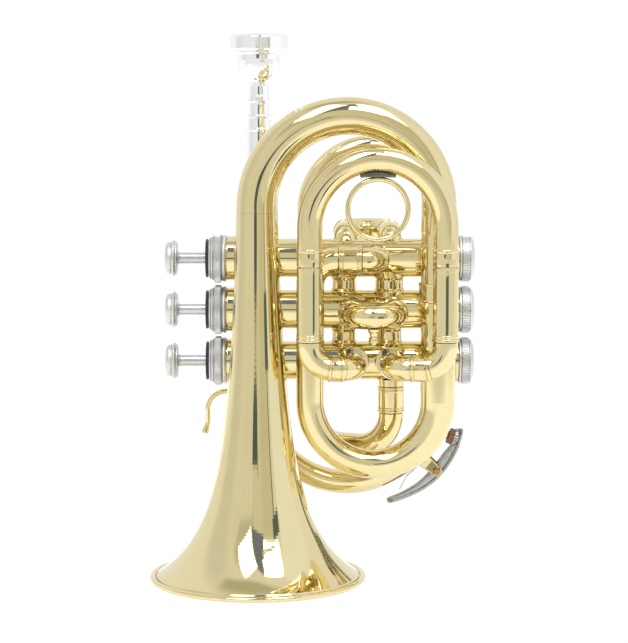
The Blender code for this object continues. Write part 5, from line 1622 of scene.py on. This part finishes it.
@dataclass(frozen=True)
class Pane:
    """A lit or dark patch of the tent: its corners as (azimuth, height) in degrees.

    Azimuth is 0 towards the camera and grows to the viewer's right.
    """

    corners: Sequence[Pair]
    light: Triple
    soft: float = 1.0

    @staticmethod
    def way(azimuth: float, height: float) -> Vector:
        """Give the direction of a place on the tent.

        Args:
            azimuth: Its azimuth, in degrees.
            height: Its height, in degrees.

        Returns:
            The direction.
        """
        flat = cos(radians(height))
        return Vector((sin(radians(azimuth)) * flat, -cos(radians(azimuth)) * flat,
                       sin(radians(height))))

    def mask(self, graph: Graph, view: Signal) -> Signal:
        """Cut the patch out by a plane through each of its edges.

        Args:
            graph: The world's nodes.
            view: The direction that is looked up.

        Returns:
            1 inside the patch and 0 outside.
        """
        ways = [self.way(*corner) for corner in self.corners]
        middle = sum(ways, Vector())
        mask = None
        for first, second in zip(ways, ways[1:] + ways[:1]):
            normal = first.cross(second).normalized()
            if normal.dot(middle) < 0:
                normal.negate()
            side = graph.signal("ShaderNodeVectorMath", "Value", {"operation": "DOT_PRODUCT"},
                                {0: view, 1: tuple(normal)})
            cut = side.between(-sin(radians(self.soft)), sin(radians(self.soft)))
            mask = cut if mask is None else mask * cut
        return mask


@dataclass
class Studio:
    """The light tent, the pale floor, the dark camera stand and the camera."""

    camera_at: Triple = (0.92, -1016.4, 221.7)
    pitch: float = 0.1028
    yaw: float = 0.0006
    focal: float = 2187.6
    image_height: int = 643
    side_light: Triple = (0.86, 0.86, 0.87)
    roof_light: Triple = (0.90, 0.90, 0.92)
    backdrop: Triple = (1.03, 1.03, 1.03)
    floor_radius: float = 2600.0
    panes: Sequence[Pane] = (
        Pane(((-130, 60), (-85, 66), (-30, 81), (60, 84), (120, 74), (180, 76)),
             (0.53, 0.53, 0.46), 4.0),
        Pane(((44, -40), (112, -40), (112, 66), (60, 66)), (1.00, 1.03, 1.10), 3.0),
        Pane(((-130, -40), (-66, -40), (-66, 60), (-130, 60)), (0.76, 0.77, 0.80), 8.0),
        Pane(((-10, -30), (44, -30), (40, 41), (-14, 36)), (0.76, 0.76, 0.70), 2.0),
        Pane(((11, -30), (42, -30), (38, 38), (13, 40)), (0.70, 0.69, 0.60), 3.0),
        Pane(((40.5, -30), (44, -30), (39.5, 38), (37.5, 38)), (0.20, 0.22, 0.17), 0.6),
        Pane(((-23, -20), (-21, -20), (-20, 45), (-21, 45)), (0.78, 0.78, 0.75), 0.7),
        Pane(((-37.5, -20), (-35.5, -20), (-34, 48), (-35, 48)), (0.80, 0.80, 0.77), 0.8),
        Pane(((-54, -20), (-50, -20), (-46, 60), (-49, 60)), (0.84, 0.84, 0.82), 1.2),
        Pane(((-40, 28), (-8, 28), (4, 68), (-30, 76), (-52, 50)), (0.62, 0.64, 0.60), 4.0),
        Pane(((-14, 33), (14, 39), (30, 77), (2, 70)), (0.19, 0.24, 0.36), 1.2),
        Pane(((-14, 33.5), (-40, 45), (-46, 77), (0, 67)), (5.0, 5.0, 5.0), 0.5),
        Pane(((14, 43.5), (46, 40.5), (75, 69), (27, 77)), (5.0, 5.0, 5.0), 0.5),
    )

    def light_tent(self) -> None:
        """Fill the world with a white tent, its lamps and the gaps between its cloths."""
        world = bpy.data.worlds.new("light_tent")
        bpy.context.scene.world = world
        graph = Graph(world)
        view = graph.signal("ShaderNodeTexCoord", "Generated")
        north, high = graph.axes(view, 1, 2)
        colour = graph.mix(high.between(0.2, 0.95), self.side_light, self.roof_light)
        folds = graph.noise(view, 3.0, 2, (6.0, 6.0, 0.6)).between(0.35, 0.7)
        colour = graph.mix(folds * 0.35, colour, tuple(c * 0.86 for c in self.side_light))
        for pane in self.panes:
            colour = graph.mix(pane.mask(graph, view), colour, pane.light)
        colour = graph.mix(north.between(0.05, 0.35), colour, (0.95, 0.95, 0.97))
        seen = graph.signal("ShaderNodeLightPath", "Is Camera Ray")
        graph.close("ShaderNodeBackground", {
            "Color": graph.mix(seen, colour, self.backdrop), "Strength": 1.0}, "World")

    @staticmethod
    def stand_up(name: str, corners: Sequence[Sequence[float]],
                 material: bpy.types.Material) -> bpy.types.Object:
        """Stand up a flat card or cloth of the studio.

        Args:
            name: Its name.
            corners: Its corners, in order.
            material: Its material.

        Returns:
            The staged object.
        """
        form = Form([Vector(corner) for corner in corners], [tuple(range(len(corners)))])
        obj = bpy.data.objects.new(name, form.mesh(name))
        bpy.context.scene.collection.objects.link(obj)
        obj.data.materials.append(material)
        return obj

    def card(self, name: str, corners: Sequence[Sequence[float]], light: Triple) -> None:
        """Stand up a card that only the polished metal sees.

        Args:
            name: Its name.
            corners: Its corners, in order.
            light: How bright it is.
        """
        material = bpy.data.materials.new(name)
        Graph(material).close("ShaderNodeEmission", {"Color": (*light, 1)})
        card = self.stand_up(name, corners, material)
        card.visible_camera = card.visible_diffuse = card.visible_shadow = False

    def floor(self) -> None:
        """Lay a pale floor that the metal mirrors, dimmer far in front and at the sides."""
        material = bpy.data.materials.new("pale_cloth")
        graph = Graph(material)
        place = graph.signal("ShaderNodeTexCoord", "Object")
        threads = graph.noise(place, 900, 2)
        aside, back = graph.axes(place, 0, 1)
        near = back.between(-0.75, -0.32) * (1 - aside.math("ABSOLUTE", aside).between(0.6, 0.95))
        far = graph.mix(back.between(-0.6, 0.2), (0.06, 0.06, 0.055), (0.26, 0.26, 0.255))
        graph.close("ShaderNodeBsdfPrincipled", {
            "Base Color": graph.mix(threads, (0.58, 0.58, 0.58), (0.62, 0.62, 0.62)),
            "Roughness": 0.9, "Emission Strength": 1.0,
            "Emission Color": graph.mix(near, far, (0.50, 0.50, 0.495))})
        edge = [radians(angle) for angle in range(0, 360, 4)]
        floor = self.stand_up("tent_floor", [
            (self.floor_radius * cos(turn), self.floor_radius * sin(turn), -0.05)
            for turn in edge], material)
        floor.visible_camera = False

    def cards(self) -> None:
        """Stand up what the tubes mirror: the camera on its stand, a screen, a cloth, a card."""
        y, dark = self.camera_at[1] - 25.0, (0.10, 0.14, 0.18)
        self.card("camera_stand", [(x, y, z) for x, z in (
            (-142, 124), (-37, 131), (-6, 150), (-6, 257), (-278, 257), (-278, 150),
            (-247, 131))], dark)
        self.card("camera_head", [(8, y, 205), (30, y, 205), (30, y, 300), (8, y, 300)],
                  (0.14, 0.14, 0.13))
        self.card("pale_screen", [(5, -190, 192), (95, -190, 192), (95, -190, 214),
                                  (5, -190, 214)], (0.64, 0.61, 0.51))
        self.card("near_cloth", [(56, -151, 101), (107, -151, 101), (107, -151, 133),
                                 (56, -151, 133)], (0.12, 0.17, 0.19))
        self.card("near_card", [(30, -290, 430), (125, -290, 430), (125, -140, 400),
                                (30, -140, 400)], (5.0, 5.0, 5.0))

    def camera(self) -> None:
        """Stand the camera where the photograph was taken."""
        data = bpy.data.cameras.new("camera")
        data.sensor_width = 36.0
        data.lens = self.focal * data.sensor_width / self.image_height
        data.clip_start, data.clip_end = 0.05, 20.0
        camera = bpy.data.objects.new("camera", data)
        bpy.context.scene.collection.objects.link(camera)
        camera.rotation_euler = (pi / 2 - self.pitch, 0, self.yaw)
        camera.location = (Vector(self.camera_at) + SHIFT) * MM
        bpy.context.scene.camera = camera

    def build(self) -> None:
        """Set up the studio."""
        self.light_tent()
        self.floor()
        self.cards()
        self.camera()
        bpy.context.scene.view_settings.view_transform = "Standard"


def main() -> None:
    """Build the studio and every piece."""
    logging.basicConfig(level=logging.INFO, format="%(name)s: %(message)s")
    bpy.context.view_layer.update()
    Studio().build()
    bench = Bench()
    for section in (BellSection(), ValveCluster(), LeadSection(), ValveSlides(), WaterKey()):
        section.build(bench)
        LOG.info("%s is built", type(section).__name__)
    bpy.context.view_layer.update()


if __name__ == "__main__":
    main()
